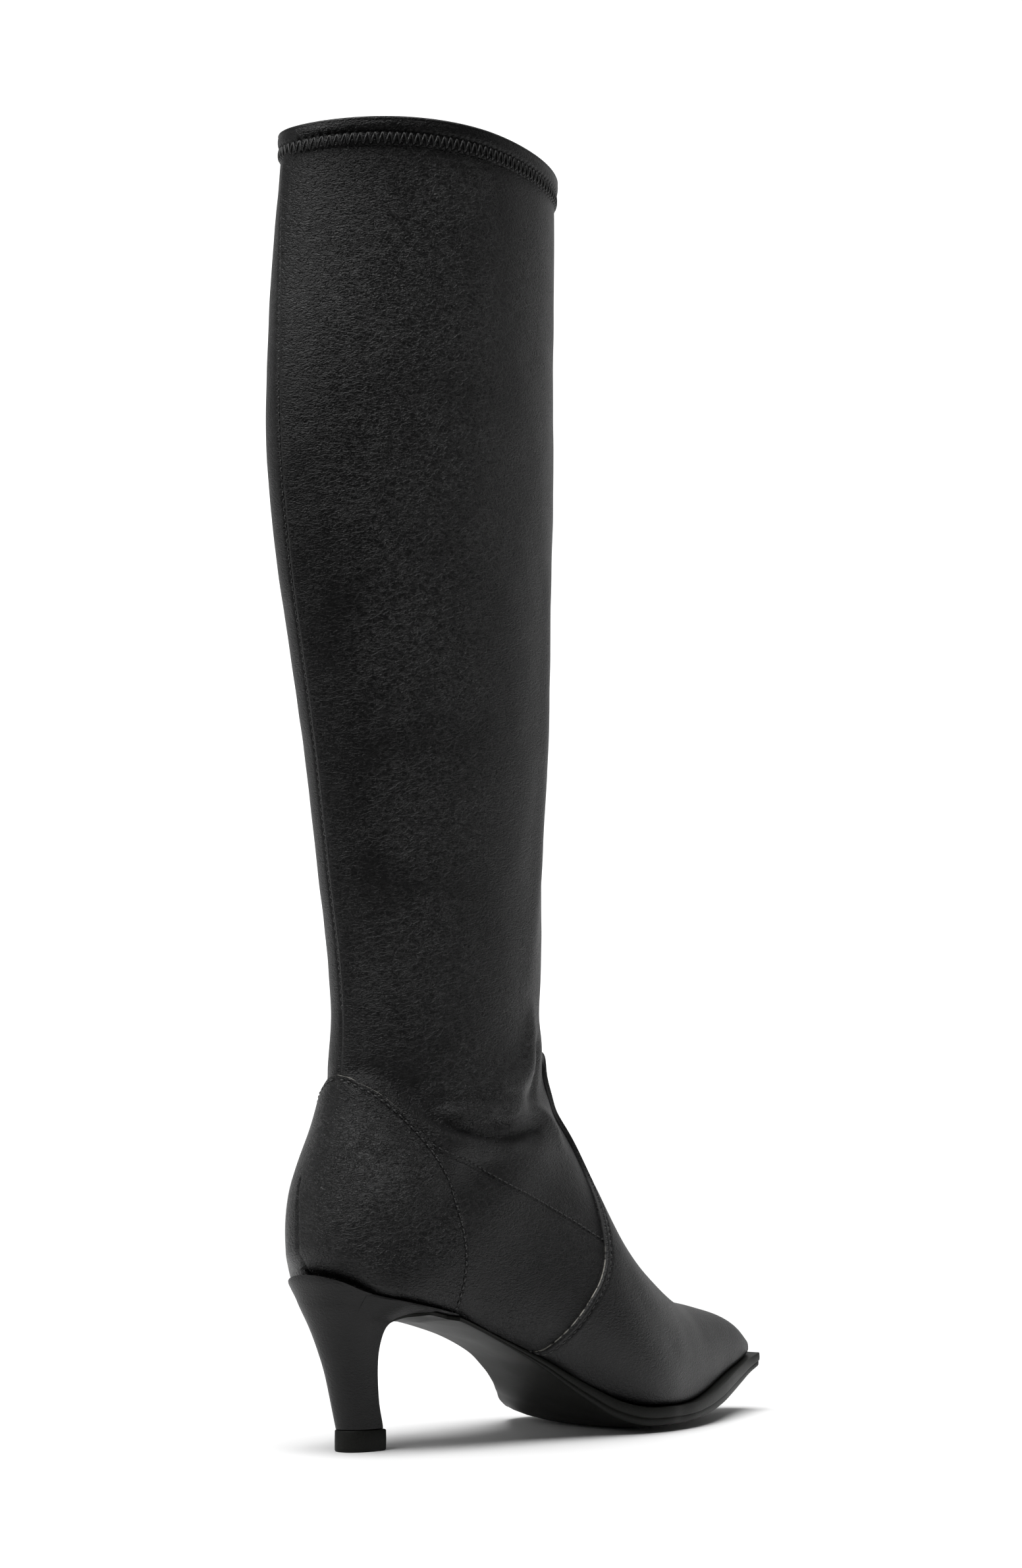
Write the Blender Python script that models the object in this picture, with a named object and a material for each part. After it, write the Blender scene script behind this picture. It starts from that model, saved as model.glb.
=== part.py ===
"""Right knee-high boot with a slim covered heel, built as eight solids in metres.

Shape functions work in three boot directions: along (from the back of the heel
to the toe), side (positive towards the outer side) and height above the ground.
In the part's frame the toe points along -Y, the outer side along -X and up is +Z.
The origin is the centre of the ground face of the heel's top lift.
"""

from math import pi

import bpy
import numpy as np

# Sizes that set the whole boot
SOLE_LENGTH = 0.245      # zero of "along" to the tip of the sole
BALL_HALF = 0.0386       # half the width of the sole at the ball
SEAT_HEIGHT = 0.058      # top of the heel at its back
INSTEP_RISE = 0.100      # scale of the upper's rise over the foot
SHAFT_RISE = 0.392       # seat to collar
WALL = 0.0018            # leather and lining of the upper
OVERLAY = 0.0011         # thickness of the vamp and of the counter
GAP = 0.0003             # clearance between pieces that meet
SINK = 0.009             # how far the raw form of the upper reaches below the sole's top
INSOLE_THICKNESS = 0.0016
BINDING_HEIGHT = 0.0085
BINDING_THICKNESS = 0.0011
SHEET = 0.0013           # outsole sheet under the waist and down the breast
STEP_DEPTH = 0.0006      # set-back of the lower band of the sole's edge
LIFT_HEIGHT = 0.0072

# Sole: along as a share of SOLE_LENGTH; top and bottom as shares of SEAT_HEIGHT;
# bank is the rise per unit of side towards the inner arch;
# outer and inner are half widths as shares of BALL_HALF.
SOLE_COLUMNS = ("along", "top", "bottom", "bank", "outer", "inner")
SOLE = (
    (0.013, 1.005, 0.985, 0.00, 0.078, 0.078),
    (0.020, 0.988, 0.968, 0.00, 0.246, 0.238),
    (0.033, 0.962, 0.940, 0.00, 0.404, 0.389),
    (0.057, 0.917, 0.895, 0.00, 0.539, 0.518),
    (0.098, 0.866, 0.843, 0.00, 0.655, 0.622),
    (0.147, 0.821, 0.798, 0.00, 0.705, 0.648),
    (0.196, 0.778, 0.755, 0.01, 0.712, 0.611),
    (0.245, 0.728, 0.705, 0.05, 0.684, 0.505),
    (0.294, 0.669, 0.643, 0.09, 0.658, 0.402),
    (0.343, 0.607, 0.569, 0.12, 0.648, 0.337),
    (0.392, 0.533, 0.474, 0.13, 0.661, 0.326),
    (0.437, 0.438, 0.357, 0.13, 0.723, 0.389),
    (0.478, 0.348, 0.248, 0.12, 0.808, 0.505),
    (0.522, 0.255, 0.129, 0.09, 0.902, 0.699),
    (0.571, 0.186, 0.028, 0.04, 0.979, 0.920),
    (0.612, 0.157, 0.000, 0.00, 1.000, 1.022),
    (0.641, 0.155, 0.000, 0.00, 0.977, 1.040),
    (0.673, 0.157, 0.010, 0.00, 0.948, 1.031),
    (0.735, 0.186, 0.042, 0.00, 0.839, 0.948),
    (0.800, 0.234, 0.094, 0.00, 0.684, 0.798),
    (0.865, 0.283, 0.152, 0.00, 0.497, 0.601),
    (0.922, 0.322, 0.205, 0.00, 0.337, 0.415),
    (0.967, 0.353, 0.251, 0.00, 0.223, 0.275),
    (0.998, 0.374, 0.285, 0.00, 0.166, 0.202),
)

# Sections of the upper over the foot: each is a plane through a base point and a
# top point. along as shares of SOLE_LENGTH, rise of INSTEP_RISE, half width and
# shift of BALL_HALF; widest is the share of the way up at the greatest width.
FOOT_COLUMNS = ("base_along", "top_along", "top_rise", "half", "widest", "base_power", "top_power", "shift")
FOOT = (
    (0.972, 0.972, 0.050, 0.070, 0.62, 2.6, 2.2, -0.020),
    (0.968, 0.965, 0.066, 0.086, 0.50, 2.8, 2.2, -0.041),
    (0.945, 0.938, 0.123, 0.173, 0.42, 3.2, 2.2, -0.051),
    (0.905, 0.890, 0.183, 0.304, 0.38, 3.4, 2.2, -0.064),
    (0.845, 0.820, 0.242, 0.491, 0.34, 3.4, 2.2, -0.075),
    (0.770, 0.735, 0.336, 0.713, 0.31, 3.4, 2.1, -0.083),
    (0.690, 0.649, 0.486, 0.910, 0.29, 3.0, 2.0, -0.070),
    (0.610, 0.575, 0.601, 1.014, 0.30, 2.4, 2.0, 0.029),
    (0.520, 0.535, 0.706, 0.964, 0.34, 1.9, 2.0, 0.192),
    (0.410, 0.522, 0.831, 0.844, 0.40, 1.8, 2.0, 0.309),
    (0.290, 0.508, 0.928, 0.777, 0.42, 2.1, 2.0, 0.228),
    (0.178, 0.480, 0.965, 0.794, 0.44, 2.8, 2.0, 0.067),
    (0.039, 0.473, 1.014, 0.851, 0.46, 2.8, 2.0, 0.006),
)

# Sections up the shaft, each from a back point to a front point; rises are shares of SHAFT_RISE.
SHAFT_COLUMNS = ("back_along", "back_rise", "front_along", "front_rise", "half", "back_power")
SHAFT = (
    (0.013, 0.000, 0.466, 0.187, 0.692, 2.40),
    (0.015, 0.060, 0.461, 0.212, 0.822, 2.20),
    (0.047, 0.112, 0.463, 0.236, 0.660, 2.00),
    (0.078, 0.170, 0.466, 0.268, 0.660, 1.90),
    (0.082, 0.235, 0.466, 0.305, 0.680, 1.85),
    (0.062, 0.312, 0.466, 0.358, 0.710, 1.80),
    (0.039, 0.400, 0.473, 0.432, 0.740, 1.80),
    (0.011, 0.500, 0.481, 0.520, 0.780, 1.80),
    (-0.030, 0.600, 0.486, 0.612, 0.810, 1.80),
    (-0.056, 0.700, 0.489, 0.706, 0.840, 1.80),
    (-0.055, 0.800, 0.489, 0.804, 0.860, 1.80),
    (-0.041, 0.900, 0.487, 0.902, 0.880, 1.80),
    (-0.023, 1.000, 0.484, 1.005, 0.890, 1.80),
)
COLLAR = len(FOOT) + len(SHAFT) - 1   # the last section

# Side views of the overlays' edges: along and height, as shares of SOLE_LENGTH
VAMP_EDGE = (
    (0.560, 0.560), (0.461, 0.556), (0.445, 0.551), (0.433, 0.542), (0.427, 0.529),
    (0.429, 0.510), (0.433, 0.490), (0.446, 0.464), (0.460, 0.438), (0.471, 0.410),
    (0.478, 0.383), (0.482, 0.353), (0.482, 0.316), (0.482, 0.282), (0.474, 0.249),
    (0.460, 0.226), (0.442, 0.205), (0.424, 0.183), (0.405, 0.162), (0.384, 0.144),
    (0.362, 0.129), (0.300, 0.090),
)
COUNTER_EDGE = (
    (-0.120, 0.520), (0.040, 0.514), (0.068, 0.509), (0.076, 0.500), (0.090, 0.488),
    (0.116, 0.457), (0.142, 0.421), (0.160, 0.394), (0.173, 0.372), (0.182, 0.345),
    (0.188, 0.316), (0.192, 0.292), (0.194, 0.265), (0.194, 0.240), (0.193, 0.210),
    (0.191, 0.150),
)

# Heel: height and breast as used below; back and half width at each height
HEEL_COLUMNS = ("height", "back", "front", "half")   # shares of SEAT_HEIGHT, SOLE_LENGTH twice, BALL_HALF
HEEL = (
    (0.129, 0.0800, 0.136, 0.171),
    (0.276, 0.0705, 0.128, 0.183),
    (0.448, 0.0590, 0.124, 0.206),
    (0.586, 0.0468, 0.124, 0.246),
    (0.724, 0.0345, 0.128, 0.330),
    (0.793, 0.0285, 0.140, 0.412),
    (0.862, 0.0232, 0.155, 0.506),
    (0.931, 0.0182, 0.172, 0.610),
    (1.000, 0.0140, 0.185, 0.690),
    (1.060, 0.0130, 0.196, 0.705),
)
# Breast of the heel in side view, ground upwards and then forward under the arch
BREAST = (
    (0.1380, 0.090), (0.1352, 0.150), (0.1265, 0.276), (0.1195, 0.448), (0.1155, 0.586),
    (0.1150, 0.672), (0.1180, 0.733), (0.1250, 0.774), (0.1370, 0.793), (0.1540, 0.791),
    (0.1740, 0.772), (0.1960, 0.750),
)
WING_END = 0.196         # share of SOLE_LENGTH where the heel's cover ends under the waist
LIFT = (0.0790, 0.1440, 0.178)   # back, front (shares of SOLE_LENGTH) and half width (share of BALL_HALF)
ORIGIN_ALONG = (LIFT[0] + LIFT[1]) / 2 * SOLE_LENGTH

SMALL = 1e-3


def column(table, names, name):
    return np.array([row[names.index(name)] for row in table], float)


def smooth_curve(x, y, q):
    """Shape-keeping cubic through the points x, y; straight beyond the ends."""
    q = np.asarray(q, float)
    step = np.diff(x)
    rate = np.diff(y) / step
    slope = np.zeros(len(x))
    slope[0], slope[-1] = rate[0], rate[-1]
    for k in range(1, len(x) - 1):
        if rate[k - 1] * rate[k] > 0:
            near, far = 2 * step[k] + step[k - 1], step[k] + 2 * step[k - 1]
            slope[k] = (near + far) / (near / rate[k - 1] + far / rate[k])
    i = np.clip(np.searchsorted(x, q) - 1, 0, len(x) - 2)
    f = (q - x[i]) / step[i]
    inner = (1 + 2 * f) * (1 - f) ** 2 * y[i] + f * (1 - f) ** 2 * slope[i] * step[i]
    inner = inner + f * f * (3 - 2 * f) * y[i + 1] + f * f * (f - 1) * slope[i + 1] * step[i]
    before = y[0] + slope[0] * (q - x[0])
    after = y[-1] + slope[-1] * (q - x[-1])
    return np.where(q < x[0], before, np.where(q > x[-1], after, inner))


def blend_rows(rows, v):
    """Uniform cubic B-spline through control rows; v runs from 0 to the last row."""
    padded = np.vstack([2 * rows[0] - rows[1], rows, 2 * rows[-1] - rows[-2]])
    v = np.clip(np.asarray(v, float), 0, len(rows) - 1)
    i = np.minimum(v.astype(int), len(rows) - 2)
    f = (v - i)[..., None]
    weights = ((1 - f) ** 3, 3 * f**3 - 6 * f**2 + 4, -3 * f**3 + 3 * f**2 + 3 * f + 1, f**3)
    return sum(w * padded[i + k] for k, w in enumerate(weights)) / 6


def sole_value(name, along):
    scale = {"top": SEAT_HEIGHT, "bottom": SEAT_HEIGHT, "bank": 1.0}.get(name, BALL_HALF)
    stations = column(SOLE, SOLE_COLUMNS, "along") * SOLE_LENGTH
    return smooth_curve(stations, column(SOLE, SOLE_COLUMNS, name) * scale, along)


def sole_top(along, side):
    """Height of the surface that the upper stands on."""
    return sole_value("top", along) - sole_value("bank", along) * side


def control_rows():
    f = {name: column(FOOT, FOOT_COLUMNS, name) for name in FOOT_COLUMNS}
    s = {name: column(SHAFT, SHAFT_COLUMNS, name) for name in SHAFT_COLUMNS}
    base_along, top_along = f["base_along"] * SOLE_LENGTH, f["top_along"] * SOLE_LENGTH
    foot = np.stack([
        base_along,
        sole_top(base_along, 0) - SINK * np.minimum(1, f["half"] / 0.3),
        top_along,
        sole_top(top_along, 0) + f["top_rise"] * INSTEP_RISE,
        f["half"] * BALL_HALF,
        f["widest"],
        f["base_power"],
        f["top_power"],
        f["shift"] * BALL_HALF,
    ], 1)
    same = np.ones(len(SHAFT))
    shaft = np.stack([
        s["back_along"] * SOLE_LENGTH,
        SEAT_HEIGHT + s["back_rise"] * SHAFT_RISE,
        s["front_along"] * SOLE_LENGTH,
        SEAT_HEIGHT + s["front_rise"] * SHAFT_RISE,
        s["half"] * BALL_HALF,
        0.5 * same,
        s["back_power"],
        2.0 * same,
        0.0 * same,
    ], 1)
    return np.vstack([foot, shaft])


ROWS = control_rows()


def form(v, turn):
    """Point of the upper's outer form. v: section, toe to collar. turn: 0 at the
    top or front of a section, pi / 2 at the outer side, pi at the base or back."""
    c = blend_rows(ROWS, v)
    base_along, base_height, top_along, top_height, half, widest, base_power, top_power, shift = np.moveaxis(c, -1, 0)
    up, out = np.cos(turn), np.sin(turn)
    power = np.where(up >= 0, top_power, base_power)
    rise = np.sign(up) * np.abs(up) ** (2 / power)
    share = np.where(up >= 0, widest + (1 - widest) * rise, widest + widest * rise)
    side = half * np.sign(out) * np.abs(out) ** (2 / power) + shift * (1 - share)
    along = base_along + (top_along - base_along) * share
    height = base_height + (top_height - base_height) * share
    return np.stack([along, side, height], -1)


def offset_form(v, turn, distance):
    """The form moved out along its normal by a distance (inwards when negative)."""
    low, high = np.clip(v - SMALL, 0, COLLAR), np.clip(v + SMALL, 0, COLLAR)
    down = form(high, turn) - form(low, turn)
    round_ = form(v, turn + SMALL) - form(v, turn - SMALL)
    normal = np.cross(round_, down)
    normal = normal / np.linalg.norm(normal, axis=-1, keepdims=True)
    return form(v, turn) + normal * distance


def to_frame(points):
    """Boot directions to the part's axes."""
    points = np.asarray(points, float)
    return np.stack([-points[..., 1], ORIGIN_ALONG - points[..., 0], points[..., 2]], -1)


def new_object(name, points, faces):
    mesh = bpy.data.meshes.new(name)
    mesh.from_pydata([tuple(p) for p in to_frame(points)], [], faces)
    mesh.validate()
    obj = bpy.data.objects.new(name, mesh)
    bpy.context.scene.collection.objects.link(obj)
    volume = 0.0
    mesh.calc_loop_triangles()
    for triangle in mesh.loop_triangles:
        a, b, c = (mesh.vertices[i].co for i in triangle.vertices)
        volume += a.dot(b.cross(c))
    if volume < 0:
        mesh.flip_normals()
    return obj


def tube(name, rings, closed=False):
    """Solid through rings of equal length; its ends are fans about their middles,
    or it runs round into itself when closed."""
    count, size = len(rings), len(rings[0])
    points = [p for ring in rings for p in ring]
    faces = []
    for r in range(count if closed else count - 1):
        for k in range(size):
            a, b = r * size + k, r * size + (k + 1) % size
            c, d = (r + 1) % count * size + (k + 1) % size, (r + 1) % count * size + k
            faces += [(a, b, c), (a, c, d)]
    if not closed:
        for first in (0, (count - 1) * size):
            middle = len(points)
            points.append(np.mean(points[first:first + size], axis=0))
            for k in range(size):
                pair = (first + k, first + (k + 1) % size)
                faces.append((pair[1], pair[0], middle) if first == 0 else (pair[0], pair[1], middle))
    return new_object(name, np.array(points), faces)


def boolean(obj, other, operation):
    modifier = obj.modifiers.new(operation.lower(), "BOOLEAN")
    modifier.operation = operation
    modifier.solver = "EXACT"
    modifier.object = other
    bpy.context.view_layer.update()
    graph = bpy.context.evaluated_depsgraph_get()
    result = bpy.data.meshes.new_from_object(obj.evaluated_get(graph))
    obj.modifiers.clear()
    obj.data = result
    bpy.data.objects.remove(other)


def section_steps(count):
    """Section numbers, toe to collar, with more of them over the toe, where the form turns fast."""
    share = np.linspace(0, 1, count)
    return (COLLAR - 0.02) * (0.35 * share + 0.65 * share**1.35)


def body(name, distance, sections, size, above=0.0):
    """Closed form through the given sections, offset by a distance, its last ring raised."""
    turns = np.linspace(0, 2 * pi, size, endpoint=False)
    rings = [offset_form(np.full(size, v), turns, distance) for v in sections]
    if above:
        rings.append(rings[-1] + np.array([0, 0, above]))
    return tube(name, rings)


def sole_block(name, raised, depth, first=-0.03, last=1.06, count=44):
    """Block whose top is the sole's top surface raised by a distance."""
    reach = np.linspace(-1.4, 1.4, 15) * BALL_HALF
    sides = np.concatenate([reach, reach[::-7]])
    under = np.arange(len(sides)) >= len(reach)
    rings = []
    for along in np.linspace(first, last, count) * SOLE_LENGTH:
        stations = np.full(len(sides), along)
        height = sole_top(stations, sides) + raised - depth * under
        rings.append(np.stack([stations, sides, height], 1))
    return tube(name, rings)


def side_prism(name, outline, reach=0.09):
    """Prism across the boot from an outline of along and height."""
    outline = np.array(outline) * SOLE_LENGTH
    rings = [np.stack([outline[:, 0], np.full(len(outline), s), outline[:, 1]], 1) for s in (-reach, reach)]
    return tube(name, rings)


OUTER_STEPS = section_steps(32)
INNER_STEPS = OUTER_STEPS[1:]
AROUND = 28              # points round every form, so that the forms' facets lie over each other


def make_upper():
    upper = body("upper", 0.0, OUTER_STEPS, AROUND)
    boolean(upper, body("inside", -WALL, INNER_STEPS, AROUND, 0.006), "DIFFERENCE")
    boolean(upper, sole_block("below", GAP, 0.06), "DIFFERENCE")
    return upper


def overlay(name, first, last, outline):
    """Skin a gap away from the upper, cut to an outline seen from the side.
    It shares the upper's sections, so that its facets lie over the upper's."""
    inside = np.flatnonzero((OUTER_STEPS >= first) & (OUTER_STEPS <= last))
    wider = OUTER_STEPS[max(0, inside[0] - 1):inside[-1] + 2]
    piece = body(name, GAP + OVERLAY, OUTER_STEPS[inside], AROUND)
    boolean(piece, body("core", GAP, wider, AROUND), "DIFFERENCE")
    boolean(piece, side_prism("edge", outline), "INTERSECT")
    boolean(piece, sole_block("below", GAP, 0.06), "DIFFERENCE")
    return piece


def keep_largest(obj):
    """Drops stray crumbs that a cut leaves, keeping the piece itself."""
    mesh = obj.data
    links = [[] for _ in mesh.vertices]
    for edge in mesh.edges:
        a, b = edge.vertices
        links[a].append(b)
        links[b].append(a)
    seen, groups = set(), []
    for start in range(len(links)):
        if start in seen:
            continue
        group, queue = {start}, [start]
        while queue:
            for other in links[queue.pop()]:
                if other not in group:
                    group.add(other)
                    queue.append(other)
        seen |= group
        groups.append(group)
    keep = max(groups, key=len)
    if len(groups) > 1:
        order = {old: new for new, old in enumerate(sorted(keep))}
        points = [tuple(mesh.vertices[i].co) for i in sorted(keep)]
        faces = [[order[i] for i in face.vertices] for face in mesh.polygons if face.vertices[0] in keep]
        clean = bpy.data.meshes.new(obj.name)
        clean.from_pydata(points, [], faces)
        obj.data = clean


def make_vamp():
    front = [(1.10, VAMP_EDGE[0][1]), *VAMP_EDGE, (0.300, -0.050), (1.10, -0.050)]
    return overlay("vamp", 0, 15.6, front)


def make_counter():
    outline = [*COUNTER_EDGE, (0.191, 0.050), (-0.120, 0.050)]
    return overlay("heel_counter", 8.5, 17.6, outline)


def make_binding():
    """Band folded over the collar's edge: down the outside, over the top, down the inside."""
    top = OUTER_STEPS[-1]
    down = BINDING_HEIGHT / (ROWS[-1][1] - ROWS[-2][1])
    outer, inner = 1.5 * GAP, -WALL - 1.5 * GAP
    bulge = outer + 1.3 * BINDING_THICKNESS
    # share of the band's height below the edge, distance from the form, lift above the edge
    profile = (
        (1.00, outer, 0.0), (1.00, outer + 0.8 * BINDING_THICKNESS, 0.0), (0.70, bulge, 0.0), (0.30, bulge, 0.0),
        (0.00, outer + BINDING_THICKNESS, GAP), (0.00, outer, 0.95 * BINDING_THICKNESS + GAP),
        (0.00, inner, 0.95 * BINDING_THICKNESS + GAP), (0.00, inner - BINDING_THICKNESS, GAP),
        (0.85, inner - BINDING_THICKNESS, 0.0), (0.85, inner, 0.0), (0.00, inner, GAP), (0.00, outer, GAP),
    )
    turns = np.linspace(0, 2 * pi, AROUND, endpoint=False)
    rings = []
    for share, distance, lift in profile:
        rings.append(offset_form(np.full(AROUND, top - share * down), turns, distance) + np.array([0, 0, lift]))
    return tube("collar_binding", np.swapaxes(np.array(rings), 0, 1), closed=True)


def make_insole():
    sections = INNER_STEPS[(INNER_STEPS > INNER_STEPS[0]) & (INNER_STEPS < COLLAR - 10)]
    insole = body("insole", -WALL - GAP, sections, AROUND)
    boolean(insole, sole_block("slab", 2 * GAP + INSOLE_THICKNESS, INSOLE_THICKNESS), "INTERSECT")
    return insole


def breast_line(raise_by=0.0):
    """Breast of the heel in side view, moved out from the heel by a distance."""
    line = np.array(BREAST) * np.array([SOLE_LENGTH, SEAT_HEIGHT])
    tangent = np.gradient(line, axis=0)
    tangent /= np.linalg.norm(tangent, axis=1, keepdims=True)
    normal = np.stack([tangent[:, 1], -tangent[:, 0]], 1)
    return line + normal * raise_by


def heel_value(name, height):
    scale = {"back": SOLE_LENGTH, "front": SOLE_LENGTH}.get(name, BALL_HALF)
    levels = column(HEEL, HEEL_COLUMNS, "height") * SEAT_HEIGHT
    return smooth_curve(levels, column(HEEL, HEEL_COLUMNS, name) * scale, height)


def heel_outline(height, grow=0.0, reach=0.0, count=15):
    """Horizontal outline of the heel, round at the back and straight at the breast."""
    back = heel_value("back", height) - grow
    front = heel_value("front", height) + reach
    half = heel_value("half", height) + grow
    curve = (front - reach - back) * np.interp(height, [LIFT_HEIGHT, SEAT_HEIGHT], [0.7, 0.82])
    swing = np.linspace(0, pi, count)
    along = back + curve - curve * np.abs(np.sin(swing)) ** (2 / 2.15)
    side = half * np.sign(np.cos(swing)) * np.abs(np.cos(swing)) ** (2 / 2.15)
    along = np.concatenate([[front, front], along, [front, front]])
    side = np.concatenate([[half * 0.5, half], side, [-half, -half * 0.5]])
    return np.stack([along, side, np.full(len(along), height)], 1)


def make_heel():
    levels = np.concatenate([
        np.linspace(LIFT_HEIGHT + GAP, 0.70 * SEAT_HEIGHT, 6),
        np.linspace(0.76, 1.06, 8) * SEAT_HEIGHT,
    ])
    heel = tube("heel", [heel_outline(h, reach=0.03) for h in levels])
    line = breast_line()
    outline = [*line, (WING_END * SOLE_LENGTH, 0.072), (0.12, 0.072), (0.12, 0.0)]
    boolean(heel, side_prism("breast", np.array(outline) / SOLE_LENGTH), "DIFFERENCE")
    above = sole_block("above", 0.05, 0.05)
    boolean(heel, above, "DIFFERENCE")
    return heel


def make_top_lift():
    back, front, half = LIFT[0] * SOLE_LENGTH, LIFT[1] * SOLE_LENGTH, LIFT[2] * BALL_HALF
    curve = (front - back) * 0.7
    swing = np.linspace(0, pi, 21)
    along = back + curve - curve * np.sin(swing) ** (2 / 2.3)
    side = half * np.sign(np.cos(swing)) * np.abs(np.cos(swing)) ** (2 / 2.3)
    along = np.concatenate([[front - 0.001, front], [front], along, [front], [front - 0.001]])
    side = np.concatenate([[half, half - 0.001], [half - 0.001], side, [-half + 0.001], [-half]])
    outline = []
    for a, s in zip(along, side):
        if not outline or abs(outline[-1][0] - a) + abs(outline[-1][1] - s) > 1e-6:
            outline.append((a, s))
    rings = []
    for height in (0.0, LIFT_HEIGHT):
        rings.append(np.array([(a, s, height) for a, s in outline]))
    return tube("top_lift", rings)


def make_outsole():
    """Loft of cross-sections from the toe's tip back to the waist and down the breast."""
    stations = np.concatenate([
        np.linspace(0.998, 0.90, 6),
        np.linspace(0.87, 0.45, 19),
        np.linspace(0.43, WING_END + 0.004, 9),
    ]) * SOLE_LENGTH
    rings = []

    def ring(top, bottom, outer, inner, bank, step):
        sides = ((-1, 0, 0), (-0.5, 0, 0), (0, 0, 0), (0.5, 0, 0), (1, 0, 0), (1, 0.55, 0), (1, 0.6, step),
                 (1, 1, step), (0.5, 1, step), (0, 1, 0), (-0.5, 1, step), (-1, 1, step), (-1, 0.6, step), (-1, 0.55, 0))
        points = []
        for side_share, depth, inset in sides:
            half = outer if side_share > 0 else inner
            side = side_share * (half - inset)
            along = top[0] + (bottom[0] - top[0]) * depth
            height = top[1] + (bottom[1] - top[1]) * depth - bank * side
            points.append((along, side, height))
        return points

    for along in stations:
        top, bottom = sole_value("top", along), sole_value("bottom", along)
        thick = np.clip((top - bottom) / (0.1 * SEAT_HEIGHT), 0, 1)
        widths = sole_value("outer", along), sole_value("inner", along)
        rings.append(ring((along, top), (along, bottom), *widths, sole_value("bank", along), STEP_DEPTH * thick))
    near, far = breast_line(GAP), breast_line(GAP + SHEET)
    for k in range(len(near) - 1, 0, -1):
        if near[k][0] > (WING_END - 0.001) * SOLE_LENGTH and k < len(near) - 1:
            continue
        height = near[k][1]
        half = heel_value("half", height) - 0.0008
        wide = [half, half]
        if near[k][0] > 0.16 * SOLE_LENGTH:
            share = (near[k][0] / SOLE_LENGTH - 0.16) / (WING_END - 0.16)
            for n, name in enumerate(("outer", "inner")):
                wide[n] = half + (sole_value(name, near[k][0]) - 0.0008 - half) * share
        rings.append(ring(near[k], far[k], wide[0], wide[1], 0.0, 0.0))
    return tube("outsole", rings)


def material(name, color, roughness, metallic=0.0):
    made = bpy.data.materials.new(name)
    made.use_nodes = True
    shader = made.node_tree.nodes["Principled BSDF"]
    shader.inputs["Base Color"].default_value = (*color, 1.0)
    shader.inputs["Roughness"].default_value = roughness
    shader.inputs["Metallic"].default_value = metallic
    return made


LOOKS = {
    "upper": ((0.020, 0.020, 0.021), 0.45),
    "vamp": ((0.021, 0.021, 0.022), 0.44),
    "heel_counter": ((0.021, 0.021, 0.022), 0.44),
    "collar_binding": ((0.018, 0.018, 0.019), 0.50),
    "insole": ((0.060, 0.055, 0.050), 0.75),
    "outsole": ((0.022, 0.023, 0.021), 0.62),
    "heel": ((0.021, 0.021, 0.022), 0.45),
    "top_lift": ((0.018, 0.019, 0.017), 0.65),
}


def main():
    for obj in list(bpy.data.objects):
        bpy.data.objects.remove(obj)
    makers = (make_upper, make_vamp, make_counter, make_binding, make_insole, make_outsole, make_heel, make_top_lift)
    for make in makers:
        obj = make()
        keep_largest(obj)
        color, roughness = LOOKS[obj.name]
        obj.data.materials.clear()
        obj.data.materials.append(material(obj.name + "_finish", color, roughness))
        for face in obj.data.polygons:
            face.material_index = 0
            face.use_smooth = True


main()
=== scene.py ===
"""Looks of the knee-high boot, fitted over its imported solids: smooth leather surfaces, folds, seams,
stitches, sole and heel, with a pale floor and soft light.

Shapes work in three boot directions, in metres: along (back of the heel to the toe),
side (positive towards the outer side) and height.
"""

from math import pi

import bpy
import numpy as np
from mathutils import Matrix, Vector, noise


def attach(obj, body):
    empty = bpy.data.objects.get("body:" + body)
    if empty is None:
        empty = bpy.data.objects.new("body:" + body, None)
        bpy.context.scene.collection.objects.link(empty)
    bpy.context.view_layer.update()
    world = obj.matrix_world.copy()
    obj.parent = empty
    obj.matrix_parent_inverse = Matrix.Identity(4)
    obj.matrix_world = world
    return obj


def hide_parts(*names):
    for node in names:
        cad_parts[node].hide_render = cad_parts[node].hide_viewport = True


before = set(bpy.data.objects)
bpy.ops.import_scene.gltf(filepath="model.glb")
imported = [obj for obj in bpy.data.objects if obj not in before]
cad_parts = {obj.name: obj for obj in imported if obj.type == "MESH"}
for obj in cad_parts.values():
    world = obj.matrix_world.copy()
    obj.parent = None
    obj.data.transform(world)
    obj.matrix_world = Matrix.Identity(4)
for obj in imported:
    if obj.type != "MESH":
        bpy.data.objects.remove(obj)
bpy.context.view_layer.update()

# Sizes that set the whole boot
SOLE_LENGTH = 0.245      # zero of "along" to the tip of the sole
BALL_HALF = 0.0386       # half the width of the sole at the ball
SEAT_HEIGHT = 0.058      # top of the heel at its back
INSTEP_RISE = 0.100      # scale of the upper's rise over the foot
SHAFT_RISE = 0.392       # seat to collar
WALL = 0.0018            # leather and lining of the upper
GAP = 0.0003             # clearance between pieces that meet
SINK = 0.009             # how far the raw form of the upper reaches below the sole's top
SHEET = 0.0013           # outsole sheet under the waist and down the breast
LIFT_HEIGHT = 0.0072     # thickness of the heel's wearing piece
COLLAR_ARCH = 0.0046     # how far the collar's line is arched up at the sides of the leg
TUCK = 0.0009            # how far the leather is drawn in where it meets the sole
REAR_TUCK = 0.0036       # and how much further at the back of the seat
OUTER_ROLL = 0.0026      # how far the sole's lower edge is rolled up at the outer side of the ball
INNER_ROLL = 0.0042      # and at the inner side
SEAT_RIM = 0.0007        # how far the heel's rim stands up round the upper
WING_LIP = 0.0017        # how much thinner the heel's cover gets at the end of its wing

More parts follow.
